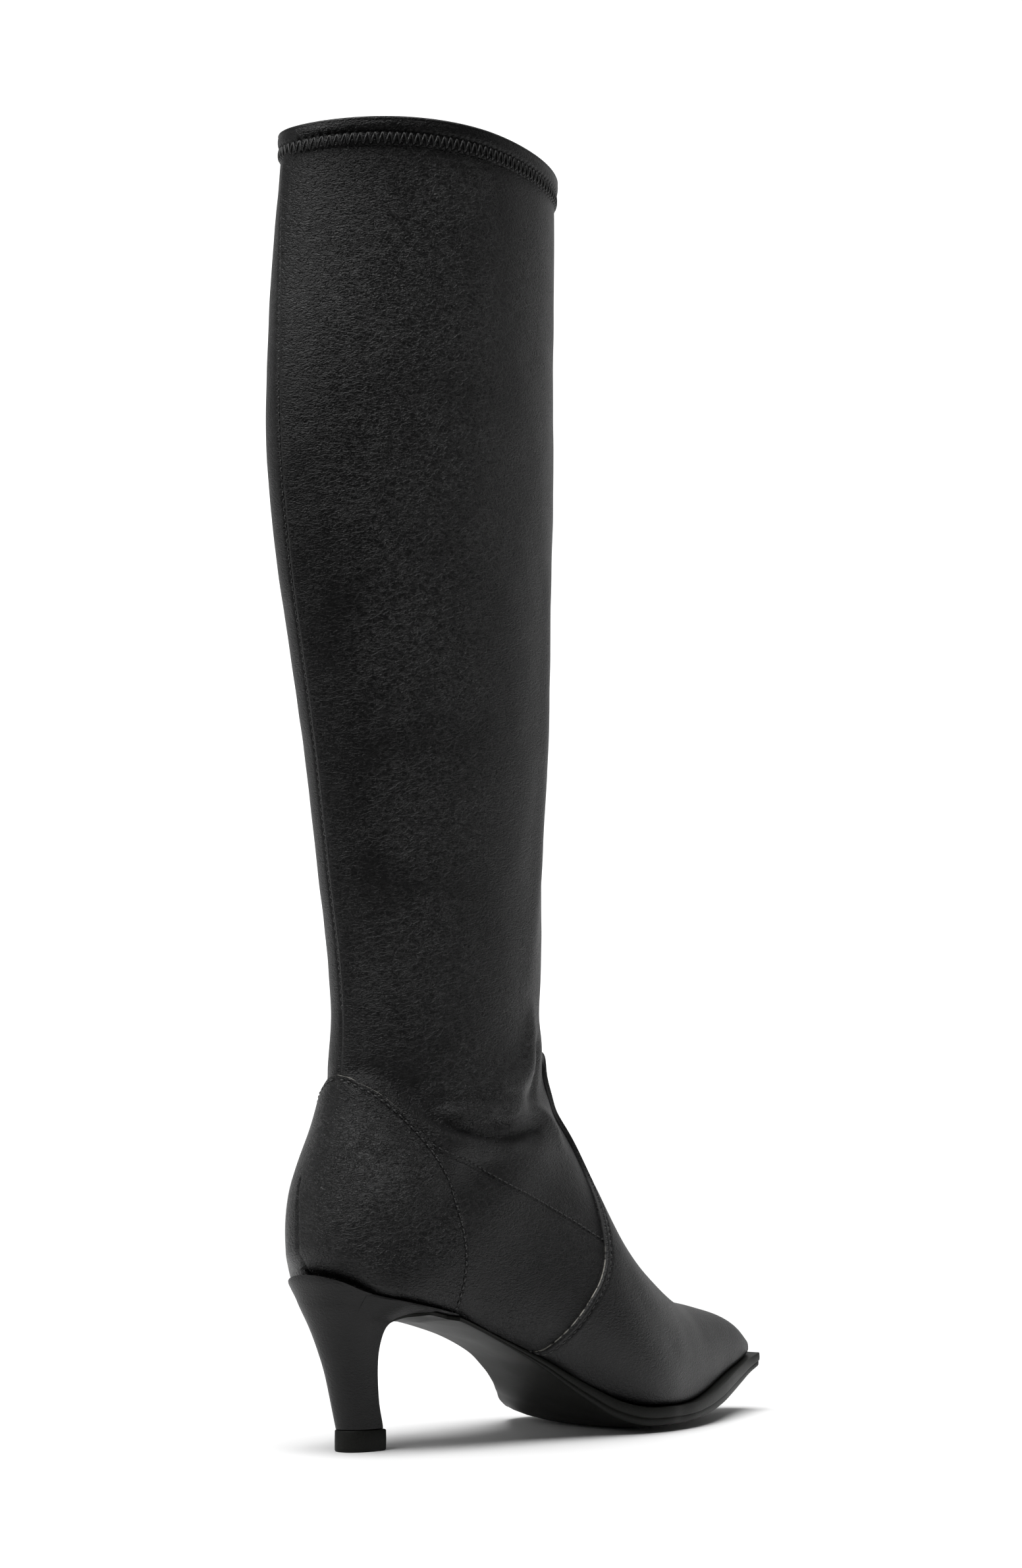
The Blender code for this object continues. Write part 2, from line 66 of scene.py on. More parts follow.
# Sole: along as a share of SOLE_LENGTH; top and bottom as shares of SEAT_HEIGHT;
# bank is the rise per unit of side towards the inner arch;
# outer and inner are half widths as shares of BALL_HALF.
SOLE_COLUMNS = ("along", "top", "bottom", "bank", "outer", "inner")
SOLE = (
    (0.013, 1.005, 0.985, 0.00, 0.078, 0.078),
    (0.020, 0.988, 0.968, 0.00, 0.246, 0.238),
    (0.033, 0.962, 0.940, 0.00, 0.404, 0.389),
    (0.057, 0.917, 0.895, 0.00, 0.539, 0.518),
    (0.098, 0.866, 0.843, 0.00, 0.655, 0.622),
    (0.147, 0.821, 0.798, 0.00, 0.705, 0.648),
    (0.196, 0.778, 0.755, 0.01, 0.712, 0.611),
    (0.245, 0.728, 0.705, 0.05, 0.684, 0.505),
    (0.294, 0.669, 0.643, 0.09, 0.658, 0.402),
    (0.343, 0.607, 0.569, 0.12, 0.648, 0.337),
    (0.392, 0.533, 0.474, 0.13, 0.661, 0.326),
    (0.437, 0.438, 0.357, 0.13, 0.723, 0.389),
    (0.478, 0.348, 0.248, 0.12, 0.808, 0.505),
    (0.522, 0.255, 0.129, 0.09, 0.902, 0.699),
    (0.571, 0.186, 0.028, 0.04, 0.979, 0.920),
    (0.612, 0.157, 0.000, 0.00, 1.000, 1.022),
    (0.641, 0.155, 0.000, 0.00, 0.977, 1.040),
    (0.673, 0.157, 0.010, 0.00, 0.948, 1.031),
    (0.735, 0.186, 0.042, 0.00, 0.839, 0.948),
    (0.800, 0.234, 0.094, 0.00, 0.684, 0.798),
    (0.865, 0.283, 0.152, 0.00, 0.497, 0.601),
    (0.922, 0.322, 0.205, 0.00, 0.337, 0.415),
    (0.967, 0.353, 0.251, 0.00, 0.223, 0.275),
    (0.998, 0.374, 0.285, 0.00, 0.166, 0.202),
)

# Sections of the upper over the foot: each is a plane through a base point and a
# top point. along as shares of SOLE_LENGTH, rise of INSTEP_RISE, half width and
# shift of BALL_HALF; widest is the share of the way up at the greatest width.
FOOT_COLUMNS = ("base_along", "top_along", "top_rise", "half", "widest", "base_power", "top_power", "shift")
FOOT = (
    (0.972, 0.972, 0.050, 0.070, 0.62, 2.6, 2.2, -0.020),
    (0.968, 0.965, 0.066, 0.086, 0.50, 2.8, 2.2, -0.041),
    (0.945, 0.938, 0.123, 0.173, 0.42, 3.2, 2.2, -0.051),
    (0.905, 0.890, 0.183, 0.304, 0.38, 3.4, 2.2, -0.064),
    (0.845, 0.820, 0.242, 0.491, 0.34, 3.4, 2.2, -0.075),
    (0.770, 0.735, 0.336, 0.713, 0.31, 3.4, 2.1, -0.083),
    (0.690, 0.649, 0.486, 0.910, 0.29, 3.0, 2.0, -0.070),
    (0.610, 0.575, 0.601, 1.014, 0.30, 2.4, 2.0, 0.029),
    (0.520, 0.535, 0.706, 0.964, 0.34, 1.9, 2.0, 0.192),
    (0.410, 0.522, 0.831, 0.844, 0.40, 1.8, 2.0, 0.309),
    (0.290, 0.508, 0.928, 0.777, 0.42, 2.1, 2.0, 0.228),
    (0.178, 0.480, 0.965, 0.794, 0.44, 2.8, 2.0, 0.067),
    (0.039, 0.473, 1.014, 0.851, 0.46, 2.8, 2.0, 0.006),
)

# Sections up the shaft, each from a back point to a front point; rises are shares of SHAFT_RISE.
SHAFT_COLUMNS = ("back_along", "back_rise", "front_along", "front_rise", "half", "back_power")
SHAFT = (
    (0.013, 0.000, 0.466, 0.187, 0.692, 2.40),
    (0.015, 0.060, 0.461, 0.212, 0.822, 2.20),
    (0.047, 0.112, 0.463, 0.236, 0.660, 2.00),
    (0.078, 0.170, 0.466, 0.268, 0.660, 1.90),
    (0.082, 0.235, 0.466, 0.305, 0.680, 1.85),
    (0.062, 0.312, 0.466, 0.358, 0.710, 1.80),
    (0.039, 0.400, 0.473, 0.432, 0.740, 1.80),
    (0.011, 0.500, 0.481, 0.520, 0.780, 1.80),
    (-0.030, 0.600, 0.486, 0.612, 0.810, 1.80),
    (-0.056, 0.700, 0.489, 0.706, 0.840, 1.80),
    (-0.055, 0.800, 0.489, 0.804, 0.860, 1.80),
    (-0.041, 0.900, 0.487, 0.902, 0.880, 1.80),
    (-0.023, 1.000, 0.484, 1.005, 0.890, 1.80),
)
COLLAR = len(FOOT) + len(SHAFT) - 1   # the last section
FIRST_SECTION = 0.02                  # the one at the tip of the toe where the vamp starts
TOP_SECTION = COLLAR - 0.02           # the highest one that a piece reaches
ARCH_FROM = 21.0                      # section where the arch of the collar's line starts

# Heel: back, front and half width at each height
HEEL_COLUMNS = ("height", "back", "front", "half")   # shares of SEAT_HEIGHT, SOLE_LENGTH twice, BALL_HALF
HEEL = (
    (0.129, 0.0800, 0.136, 0.171),
    (0.276, 0.0705, 0.128, 0.183),
    (0.448, 0.0590, 0.124, 0.206),
    (0.586, 0.0468, 0.124, 0.246),
    (0.724, 0.0345, 0.128, 0.330),
    (0.793, 0.0285, 0.140, 0.412),
    (0.862, 0.0232, 0.155, 0.506),
    (0.931, 0.0182, 0.172, 0.610),
    (1.000, 0.0140, 0.185, 0.690),
    (1.060, 0.0130, 0.196, 0.705),
)
# Breast of the heel in side view, ground upwards and then forward under the arch
BREAST = (
    (0.1380, 0.090), (0.1352, 0.150), (0.1265, 0.276), (0.1195, 0.448), (0.1155, 0.586),
    (0.1150, 0.672), (0.1180, 0.733), (0.1250, 0.774), (0.1370, 0.793), (0.1540, 0.791),
    (0.1740, 0.772), (0.1960, 0.750),
)
WING_END = 0.196         # share of SOLE_LENGTH where the heel's cover ends under the waist
LIFT = (0.0790, 0.1440, 0.178)   # back, front (shares of SOLE_LENGTH) and half width (share of BALL_HALF)
ORIGIN_ALONG = (LIFT[0] + LIFT[1]) / 2 * SOLE_LENGTH
SMALL = 1e-3             # step of section or turn from which slopes are measured
MM = 0.001

# Lines on the outer side of the boot: along, side and height in mm
VAMP_LINE = (
    (113.9, 0.0, 136.6), (112.4, 6.0, 136.2), (109.8, 11.0, 134.8), (108.0, 13.6, 131.8),
    (107.6, 14.6, 128.0), (109.0, 14.6, 122.9), (111.8, 14.4, 117.2), (115.4, 14.2, 110.9),
    (118.6, 15.4, 104.8), (120.6, 18.2, 97.8), (121.4, 22.4, 90.1), (119.9, 28.0, 81.5),
    (117.1, 33.0, 71.5), (114.1, 36.4, 62.7), (109.8, 38.2, 55.6), (104.4, 38.4, 49.4),
    (99.2, 36.8, 42.8), (94.5, 33.7, 37.0), (89.7, 28.9, 32.1), (83.0, 23.0, 27.0),
)
COUNTER_LINE = (
    (18.4, 0.0, 126.0), (18.8, 4.5, 125.1), (20.8, 9.1, 122.6), (24.3, 14.0, 119.1), (29.2, 19.9, 112.4),
    (34.1, 25.2, 104.5), (38.6, 28.0, 97.2), (43.3, 28.6, 90.5), (46.2, 29.4, 82.5), (47.4, 30.9, 74.4),
    (48.0, 31.5, 66.4), (48.1, 30.9, 58.3), (47.8, 29.3, 51.6), (48.0, 27.4, 47.1), (47.5, 25.0, 42.0),
)
QUARTER_LINE = (
    (33.5, 25.2, 102.2), (39.1, 28.1, 99.4), (46.3, 28.9, 97.1), (53.0, 28.9, 95.1), (61.7, 29.7, 91.2),
    (69.4, 31.2, 87.5), (79.5, 31.8, 84.0), (89.9, 32.0, 79.9), (101.5, 33.0, 74.7), (110.6, 34.4, 70.1),
    (118.0, 34.8, 66.6),
)
BACK_SEAM = (
    (-4.6, -4.2, 452.0), (-5.0, -4.6, 447.0), (-5.5, -5.4, 438.7), (-7.5, -4.2, 426.1),
    (-10.0, -2.1, 407.4), (-12.0, -0.2, 387.4), (-13.3, 1.2, 354.6), (-9.7, 1.5, 309.8),
    (-4.8, 0.9, 284.0), (-0.5, 0.5, 265.9), (8.3, 0.1, 222.0), (15.7, 0.3, 178.0), (18.6, 0.8, 133.0),
    (18.0, 1.2, 120.0),
)
COUNTER_SLIT = ((8.2, -7.6, 91.0), (7.3, -7.2, 86.8), (4.8, -4.9, 77.9), (3.9, -3.6, 67.0), (4.5, -2.9, 57.0))

# Folds and swells of the soft leather: height (below zero for a trough), half width and points, all in mm
FOLDS = (
    (-1.6, 5.2, (
        (22, 10, 124.2), (28, 16.6, 121), (35, 21.7, 116.4), (41, 25.6, 111.8), (48, 28.9, 108.8),
        (58.5, 29.7, 107.3), (72.5, 27.7, 106.8), (86.3, 26.1, 107.3), (96, 24.7, 108.1),
        (102, 22, 108.5),
    )),
    (-1.7, 2.2, (
        (35, 21.7, 116), (41, 25.6, 111.5), (48, 28.9, 108.3), (58.5, 29.7, 106.8), (72.5, 27.7, 106.2),
        (86.3, 26.1, 106.7), (96, 24.7, 107.8),
    )),
    (1.7, 3.4, (
        (22, 11.5, 121.8), (29.1, 18.7, 115.3), (34, 23.3, 109.8), (40, 27.5, 105.4), (47.1, 29.4, 103),
        (61.3, 28.7, 101), (75.6, 28.2, 101), (88, 27.8, 102.5),
    )),
    (-1.1, 2.8, (
        (36, 21, 119.5), (40.4, 23.4, 118), (47.2, 25.9, 117.4), (59.7, 28.6, 117.8), (71.2, 29, 119),
        (82, 27, 121.8),
    )),
    (1.7, 3.2, (
        (40, 24, 114.6), (45.1, 26.7, 113.1), (53.9, 29.3, 111.8), (67.5, 29.2, 111.4), (82, 26.5, 112),
    )),
    (1.7, 4.0, (
        (66, 28.8, 114), (76.3, 27.8, 115.2), (86.5, 24.7, 115.2), (94.1, 22.8, 113.9),
        (99.9, 22.2, 111.1), (103.9, 21.5, 108.2), (107, 21, 103.6), (108.6, 22.6, 97),
    )),
    (1.4, 4.0, (
        (56, 28.6, 118.6), (65.4, 28.6, 120.3), (73.6, 28.4, 122.2), (81.1, 27.2, 124.8), (86, 25.7, 128),
        (88.9, 24.4, 132), (93, 22.4, 140), (96, 21, 156),
    )),
    (-1.6, 3.2, (
        (98, 19.5, 142), (96.5, 21, 134), (94.6, 22.4, 128.2), (92.6, 23.2, 123.3), (89.7, 23.8, 119),
        (80.6, 26.8, 117),
    )),
    (-1.2, 4.0, (
        (16, 2, 130), (20.5, 6.9, 128.2), (26.9, 14.6, 126), (33.3, 19.3, 123.1), (40, 23.2, 119.8),
    )),
    (-0.5, 6.0, (
        (30, 20, 140), (45, 26, 134), (58, 28, 132),
    )),
    (-0.7, 6.0, (
        (97, 17, 160), (108, 12, 215), (112, 12, 270), (112, 14, 330),
    )),
    (0.7, 6.0, (
        (90, 22, 150), (98, 20, 200), (102, 22, 260), (104, 24, 320),
    )),
    (-0.5, 5.0, (
        (-4, -8, 288), (4, -2, 282), (14, 10, 280),
    )),
    (-0.5, 9.0, (
        (0, 10, 60), (10, 22, 70), (30, 30, 76), (44, 31, 80),
    )),
    (-0.5, 7.0, (
        (121, 35, 64), (128, 38, 50), (142, 38, 36), (158, 36, 26),
    )),
    (0.62, 15.0, (
        (184, 0, 42), (205, 0, 33), (218, 0, 28), (230, 0, 22), (250, 0, 10),
    )),
)
INNER_FOLD_SHIFT = (3.0, 0.0, -4.0)   # how far the inner side's folds lie from the mirrored ones, in mm
FOLD_FADE = 0.22                      # share of its length over which a fold fades out at each end
UNEVEN_FOOT = 0.00012                 # unevenness of the leather over the foot, in metres
UNEVEN_SHAFT = 0.00032                # and how much more there is up the shaft
SEAM_PANEL, SEAM_CHANNEL = 0.95, 0.55   # back seam in mm: height of the panel's edge, depth of the channel
SEAT_END = (0.045, 0.058)             # along: the leather is drawn in further behind this stretch
REAR_END = (0.006, 0.024)             # and most of all behind this one


def column(table, names, name):
    return np.array([row[names.index(name)] for row in table], float)


def smooth_curve(x, y, q):
    """Shape-keeping cubic through the points x, y; straight beyond the ends."""
    q = np.asarray(q, float)
    step = np.diff(x)
    rate = np.diff(y) / step
    slope = np.zeros(len(x))
    slope[0], slope[-1] = rate[0], rate[-1]
    for k in range(1, len(x) - 1):
        if rate[k - 1] * rate[k] > 0:
            near, far = 2 * step[k] + step[k - 1], step[k] + 2 * step[k - 1]
            slope[k] = (near + far) / (near / rate[k - 1] + far / rate[k])
    i = np.clip(np.searchsorted(x, q) - 1, 0, len(x) - 2)
    f = (q - x[i]) / step[i]
    inner = (1 + 2 * f) * (1 - f) ** 2 * y[i] + f * (1 - f) ** 2 * slope[i] * step[i]
    inner = inner + f * f * (3 - 2 * f) * y[i + 1] + f * f * (f - 1) * slope[i + 1] * step[i]
    before = y[0] + slope[0] * (q - x[0])
    after = y[-1] + slope[-1] * (q - x[-1])
    return np.where(q < x[0], before, np.where(q > x[-1], after, inner))


def blend_rows(rows, v):
    """Uniform cubic B-spline through control rows; v runs from 0 to the last row."""
    padded = np.vstack([2 * rows[0] - rows[1], rows, 2 * rows[-1] - rows[-2]])
    v = np.clip(np.asarray(v, float), 0, len(rows) - 1)
    i = np.minimum(v.astype(int), len(rows) - 2)
    f = (v - i)[..., None]
    weights = ((1 - f) ** 3, 3 * f**3 - 6 * f**2 + 4, -3 * f**3 + 3 * f**2 + 3 * f + 1, f**3)
    return sum(w * padded[i + k] for k, w in enumerate(weights)) / 6


def sole_value(name, along):
    scale = {"top": SEAT_HEIGHT, "bottom": SEAT_HEIGHT, "bank": 1.0}.get(name, BALL_HALF)
    stations = column(SOLE, SOLE_COLUMNS, "along") * SOLE_LENGTH
    return smooth_curve(stations, column(SOLE, SOLE_COLUMNS, name) * scale, along)


def sole_top(along, side):
    """Height of the surface that the upper stands on."""
    return sole_value("top", along) - sole_value("bank", along) * side


def control_rows():
    """One row per section, toe to collar, with the numbers that form() takes apart."""
    f = {name: column(FOOT, FOOT_COLUMNS, name) for name in FOOT_COLUMNS}
    s = {name: column(SHAFT, SHAFT_COLUMNS, name) for name in SHAFT_COLUMNS}
    base_along, top_along = f["base_along"] * SOLE_LENGTH, f["top_along"] * SOLE_LENGTH
    foot = np.stack([
        base_along,
        sole_top(base_along, 0) - SINK * np.minimum(1, f["half"] / 0.3),
        top_along,
        sole_top(top_along, 0) + f["top_rise"] * INSTEP_RISE,
        f["half"] * BALL_HALF,
        f["widest"],
        f["base_power"],
        f["top_power"],
        f["shift"] * BALL_HALF,
    ], 1)
    same = np.ones(len(SHAFT))
    shaft = np.stack([
        s["back_along"] * SOLE_LENGTH,
        SEAT_HEIGHT + s["back_rise"] * SHAFT_RISE,
        s["front_along"] * SOLE_LENGTH,
        SEAT_HEIGHT + s["front_rise"] * SHAFT_RISE,
        s["half"] * BALL_HALF,
        0.5 * same,
        s["back_power"],
        2.0 * same,
        0.0 * same,
    ], 1)
    return np.vstack([foot, shaft])


ROWS = control_rows()


def form(v, turn):
    """Point of the upper's outer form. v: section, toe to collar. turn: 0 at the
    top or front of a section, pi / 2 at the outer side, pi at the base or back."""
    columns = np.moveaxis(blend_rows(ROWS, v), -1, 0)
    base_along, base_height, top_along, top_height, half, widest, base_power, top_power, shift = columns
    up, out = np.cos(turn), np.sin(turn)
    power = np.where(up >= 0, top_power, base_power)
    rise = np.sign(up) * np.abs(up) ** (2 / power)
    share = np.where(up >= 0, widest + (1 - widest) * rise, widest + widest * rise)
    side = half * np.sign(out) * np.abs(out) ** (2 / power) + shift * (1 - share)
    along = base_along + (top_along - base_along) * share
    height = base_height + (top_height - base_height) * share
    arch = np.sin(pi * np.clip(share, 0, 1) ** 0.72) ** 1.2
    height = height + COLLAR_ARCH * ease(v, ARCH_FROM, COLLAR) * arch
    return np.stack([along, side, height], -1)


def to_frame(points):
    """Boot directions to the part's axes."""
    points = np.asarray(points, float)
    return np.stack([-points[..., 1], ORIGIN_ALONG - points[..., 0], points[..., 2]], -1)


def line_distance(points, line):
    """Distance of each point from a line of points, and the share of its length to the nearest place."""
    steps = np.diff(line, axis=0)
    lengths = np.linalg.norm(steps, axis=1)
    starts = np.concatenate([[0], np.cumsum(lengths)])
    best = np.full(len(points), np.inf)
    place = np.zeros(len(points))
    for k, step in enumerate(steps):
        share = np.clip((points - line[k]) @ step / (step @ step), 0, 1)
        far = np.linalg.norm(points - line[k] - share[:, None] * step, axis=1)
        near = far < best
        best = np.where(near, far, best)
        place = np.where(near, (starts[k] + share * lengths[k]) / starts[-1], place)
    return best, place


def smooth_line(points, count):
    """Even points on a smooth line through the given ones."""
    points = np.asarray(points, float)
    ends = np.vstack([2 * points[0] - points[1], points, 2 * points[-1] - points[-2]])
    dense = []
    for k in range(len(points) - 1):
        a, b, c, d = ends[k:k + 4]
        bend, twist = 2 * a - 5 * b + 4 * c - d, 3 * b - a - 3 * c + d
        for f in np.linspace(0, 1, 24, endpoint=False):
            dense.append(0.5 * (2 * b + (c - a) * f + bend * f**2 + twist * f**3))
    dense.append(points[-1])
    dense = np.array(dense)
    walk = walked(dense)
    return at_walk(dense, walk, np.linspace(0, walk[-1], count))


def walked(points):
    """Distance along a line of points, up to each of them."""
    return np.concatenate([[0], np.cumsum(np.linalg.norm(np.diff(points, axis=0), axis=1))])


def at_walk(points, walk, at):
    """Places on a line of points, at given distances along it."""
    return np.stack([np.interp(at, walk, points[:, k]) for k in range(points.shape[1])], -1)


def unit(vectors):
    return vectors / (np.linalg.norm(vectors, axis=-1, keepdims=True) + 1e-12)


def ease(value, low, high):
    """Smooth step: 0 up to low, 1 from high."""
    share = np.clip((value - low) / (high - low), 0, 1)
    return share * share * (3 - 2 * share)


SCAN_V = np.linspace(4.0, COLLAR, 330)
SCAN_TURN = np.linspace(-pi, pi, 240, endpoint=False)
SCAN_GRID = np.stack(np.meshgrid(SCAN_V, SCAN_TURN, indexing="ij"), -1).reshape(-1, 2)
SCAN_POINTS = form(SCAN_GRID[:, 0], SCAN_GRID[:, 1])


def on_form(points):
    """Section and turn of the form's nearest place to each point."""
    found = []
    for point in np.asarray(points, float):
        guess = SCAN_GRID[np.argmin(((SCAN_POINTS - point) ** 2).sum(1))].copy()
        for _ in range(6):
            v, turn = np.array([guess[0]]), np.array([guess[1]])
            here = form(v, turn)[0]
            by_v = (form(v + SMALL, turn)[0] - form(v - SMALL, turn)[0]) / (2 * SMALL)
            by_turn = (form(v, turn + SMALL)[0] - form(v, turn - SMALL)[0]) / (2 * SMALL)
            rates = np.stack([by_v, by_turn], 1)
            move = np.linalg.lstsq(rates, point - here, rcond=None)[0]
            guess += np.clip(move, -0.3, 0.3)
            guess[0] = np.clip(guess[0], 0.01, COLLAR - 0.001)
        found.append(guess)
    return np.array(found)


def both_sides(line):
    """A line of the outer side and its mirror image on the inner side."""
    line = np.asarray(line, float)
    return line, line * np.array([1, -1, 1])


FOLD_LINES = []
for fold_height, fold_width, fold_points in FOLDS:
    for fold_side, fold_line in enumerate(both_sides(fold_points)):
        shifted = fold_line + np.array(INNER_FOLD_SHIFT) * fold_side
        FOLD_LINES.append((fold_height * MM, fold_width * MM, smooth_line(shifted * MM, 14)))
SEAM_PLACE = on_form(smooth_line(np.array(BACK_SEAM) * MM, 60))
SEAM_PLACE[:, 1] %= 2 * pi
SEAM_LINE = form(SEAM_PLACE[:, 0], SEAM_PLACE[:, 1])
SLIT_PLACE = on_form(smooth_line(np.array(COUNTER_SLIT) * MM, 24))
SLIT_LINE = form(SLIT_PLACE[:, 0], SLIT_PLACE[:, 1])


def unevenness(place):
    """Slow waves of the leather, with smaller ones over them."""
    return noise.noise(place * 24) + 0.35 * noise.noise(place * 85 + Vector((3, 1, 7)))


def relief(points):
    """How far the leather stands out from the plain form: folds, swells and a slight unevenness."""
    total = np.zeros(len(points))
    for height, width, line in FOLD_LINES:
        reach = np.ptp(line, axis=0).max() + 4 * width
        near = np.flatnonzero(np.abs(points - line.mean(0)).max(1) < reach)
        if len(near) == 0:
            continue
        far, place = line_distance(points[near], line)
        taper = ease(place, 0.0, FOLD_FADE) * ease(1 - place, 0.0, FOLD_FADE)
        total[near] += height * taper * np.exp(-(far / width) ** 2)
    soft = np.array([unevenness(Vector(point)) for point in points])
    top = SEAT_HEIGHT + SHAFT_RISE
    above = ease(points[:, 2], 0.05, 0.14) * (1 - ease(points[:, 2], top - 0.02, top))
    return total + soft * (UNEVEN_FOOT + UNEVEN_SHAFT * above)


def seam_turn(v):
    """Turn of the back seam at each section."""
    order = np.argsort(SEAM_PLACE[:, 0])
    return np.interp(v, SEAM_PLACE[order, 0], SEAM_PLACE[order, 1])


def seam_relief(points, turn):
    """Back seam: the outer panel's edge lies over a stitched channel."""
    far, _ = line_distance(points, SEAM_LINE)
    at_seam = np.interp(points[:, 2], SEAM_LINE[::-1, 2], SEAM_PLACE[::-1, 1])
    signed = np.where(turn % (2 * pi) < at_seam, far, -far) / MM
    fade = np.exp(-(np.maximum(signed, 0) / 4.0) ** 2)
    panel = SEAM_PANEL * np.sqrt(np.clip((signed + 0.3) / 1.1, 0, 1)) * fade
    channel = -SEAM_CHANNEL * np.exp(-((signed + 1.1) / 0.8) ** 2)
    reach = (np.abs(signed) < 12) & (points[:, 0] < 0.06)
    return np.where(reach, (panel + channel) * MM, 0.0)


def surface(v, turn, lift, seam=False, tuck=TUCK):
    """Leather surface at a lift above the form, tucked in where it meets the sole."""
    v, turn = np.broadcast_arrays(np.asarray(v, float), np.asarray(turn, float))
    lift = np.broadcast_to(np.asarray(lift, float), v.shape).ravel()
    shape = v.shape
    v, turn = v.ravel(), turn.ravel()
    low, high = np.clip(v - SMALL, 0, COLLAR), np.clip(v + SMALL, 0, COLLAR)
    down = form(high, turn) - form(low, turn)
    around = form(v, turn + SMALL) - form(v, turn - SMALL)
    normal = unit(np.cross(around, down))
    base = form(v, turn)
    lift = lift + relief(base)
    if seam:
        lift = lift + seam_relief(base, turn)
    over = base[:, 2] - sole_top(base[:, 0], base[:, 1])
    seat = 1 - ease(base[:, 0], *SEAT_END)
    rear = 1 - ease(base[:, 0], *REAR_END)
    lift = lift - tuck * (1 + 0.9 * seat) * (1 - ease(over, 0.0, 0.0028 + 0.0014 * seat))
    lift = lift - REAR_TUCK * rear * (1 - ease(over, 0.0, 0.011))
    points = base + normal * lift[:, None]
    floor = sole_top(points[:, 0], points[:, 1]) + GAP
    points[:, 2] = np.maximum(points[:, 2], floor)
    return points.reshape(*shape, 3)


def added(name, data):
    """Object in the scene for a mesh, light or camera."""
    obj = bpy.data.objects.new(name, data)
    bpy.context.scene.collection.objects.link(obj)
    return obj


def finish_mesh(name, points, faces, material, sharp=None, strip=None):
    """Visible piece from points and faces. strip: a second material, and 0 or 1 for each face that says
    which of the two it has."""
    mesh = bpy.data.meshes.new(name)
    mesh.from_pydata(to_frame(points).tolist(), [], faces)
    if strip is None:
        mesh.validate()
    mesh.polygons.foreach_set("use_smooth", np.ones(len(mesh.polygons), bool))
    if sharp:
        mesh.set_sharp_from_angle(angle=sharp)
    mesh.materials.append(material)
    if strip:
        mesh.materials.append(strip[0])
        mesh.polygons.foreach_set("material_index", np.array(strip[1], np.int32))
    obj = added(name, mesh)
    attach(obj, "root")
    return obj


def grid_faces(rows, columns, start=0, round_columns=False, turned=False):
    """Faces between rows of points. round_columns joins the last column to the first; turned flips all."""
    faces = []
    for r in range(rows - 1):
        for c in range(columns if round_columns else columns - 1):
            a = start + r * columns + c
            b = start + r * columns + (c + 1) % columns
            d, e = a + columns, b + columns
            faces.append((a, d, e, b) if turned else (a, b, e, d))
    return faces


def closed_faces(rings, size, start=0, turned=False):
    """Faces of a tube through rings of points, closed at both ends."""
    first = tuple(range(start, start + size))
    last = tuple(n + (rings - 1) * size for n in first)
    ends = [first, last[::-1]] if turned else [first[::-1], last]
    return grid_faces(rings, size, start, True, turned) + ends


def grid_piece(name, points, material, round_columns=False, turned=False):
    rows, columns = points.shape[:2]
    faces = grid_faces(rows, columns, 0, round_columns, turned)
    return finish_mesh(name, points.reshape(-1, 3), faces, material)


# Stitch rows, in metres: spacing, length and radius of a thread, and how high it arches
STITCHES = {
    "seam": (0.0027, 0.0019, 0.00036, 0.00034),
    "vamp": (0.0027, 0.0020, 0.00028, 0.00016),
    "counter": (0.0027, 0.0019, 0.00034, 0.00032),
    "quarter": (0.0025, 0.0016, 0.00028, 0.00022),
}
ZIGZAG_THREAD = (0.00034, 0.00030)   # radius and arch of the collar's threads
THREAD_SHARES = (0.0, 0.14, 0.36, 0.64, 0.86, 1.0)   # places along a thread that have a ring of points
THREAD_SIDES = 6


def thread(points, faces, first, last, up, radius, lift):
    """One thread between two needle holes, added to the points and faces."""
    up = up / np.linalg.norm(up)
    along = last - first
    across = np.cross(along, up)
    across /= np.linalg.norm(across)
    faces.extend(closed_faces(len(THREAD_SHARES), THREAD_SIDES, len(points)))
    for share in THREAD_SHARES:
        arch = 1 - (2 * share - 1) ** 4
        centre = first + along * share + up * (lift * arch - radius * 0.9 * (1 - arch))
        size = radius * (0.55 + 0.45 * arch)
        for angle in np.arange(THREAD_SIDES) * (2 * pi / THREAD_SIDES):
            points.append(centre + across * np.cos(angle) * size + up * np.sin(angle) * size)


def stitch_row(name, line, normal, kind):
    """Threads laid end to end along a line, each arched up out of its needle holes."""
    spacing, length, radius, arch = STITCHES[kind]
    walk = walked(line)
    points, faces = [], []
    at = 0.0
    while at + length < walk[-1]:
        first, last = at_walk(line, walk, at), at_walk(line, walk, at + length)
        thread(points, faces, first, last, at_walk(normal, walk, at + length / 2), radius, arch)
        at += spacing
    finish_mesh(name, np.array(points), faces, black_thread)


def stitch_line(v, turn, level=0.0, seam=False):
    """Points on the leather at a level above the form, and the way out of it at each of them."""
    row = surface(v, turn, level, seam)
    return row, surface(v, turn, level + MM, seam) - row


class Value:
    """A socket of a shader; where it holds a number it takes part in sums."""

    def __init__(self, nodes, socket):
        self.nodes = nodes
        self.socket = socket

    def _sum(self, operation, first, second):
        return self.nodes.node("ShaderNodeMath", {"operation": operation}, {0: first, 1: second})

    def __add__(self, other):
        return self._sum("ADD", self, other)

    def __sub__(self, other):
        return self._sum("SUBTRACT", self, other)

    def __rsub__(self, other):
        return self._sum("SUBTRACT", other, self)

    def __mul__(self, other):
        return self._sum("MULTIPLY", self, other)

    __radd__ = __add__
    __rmul__ = __mul__


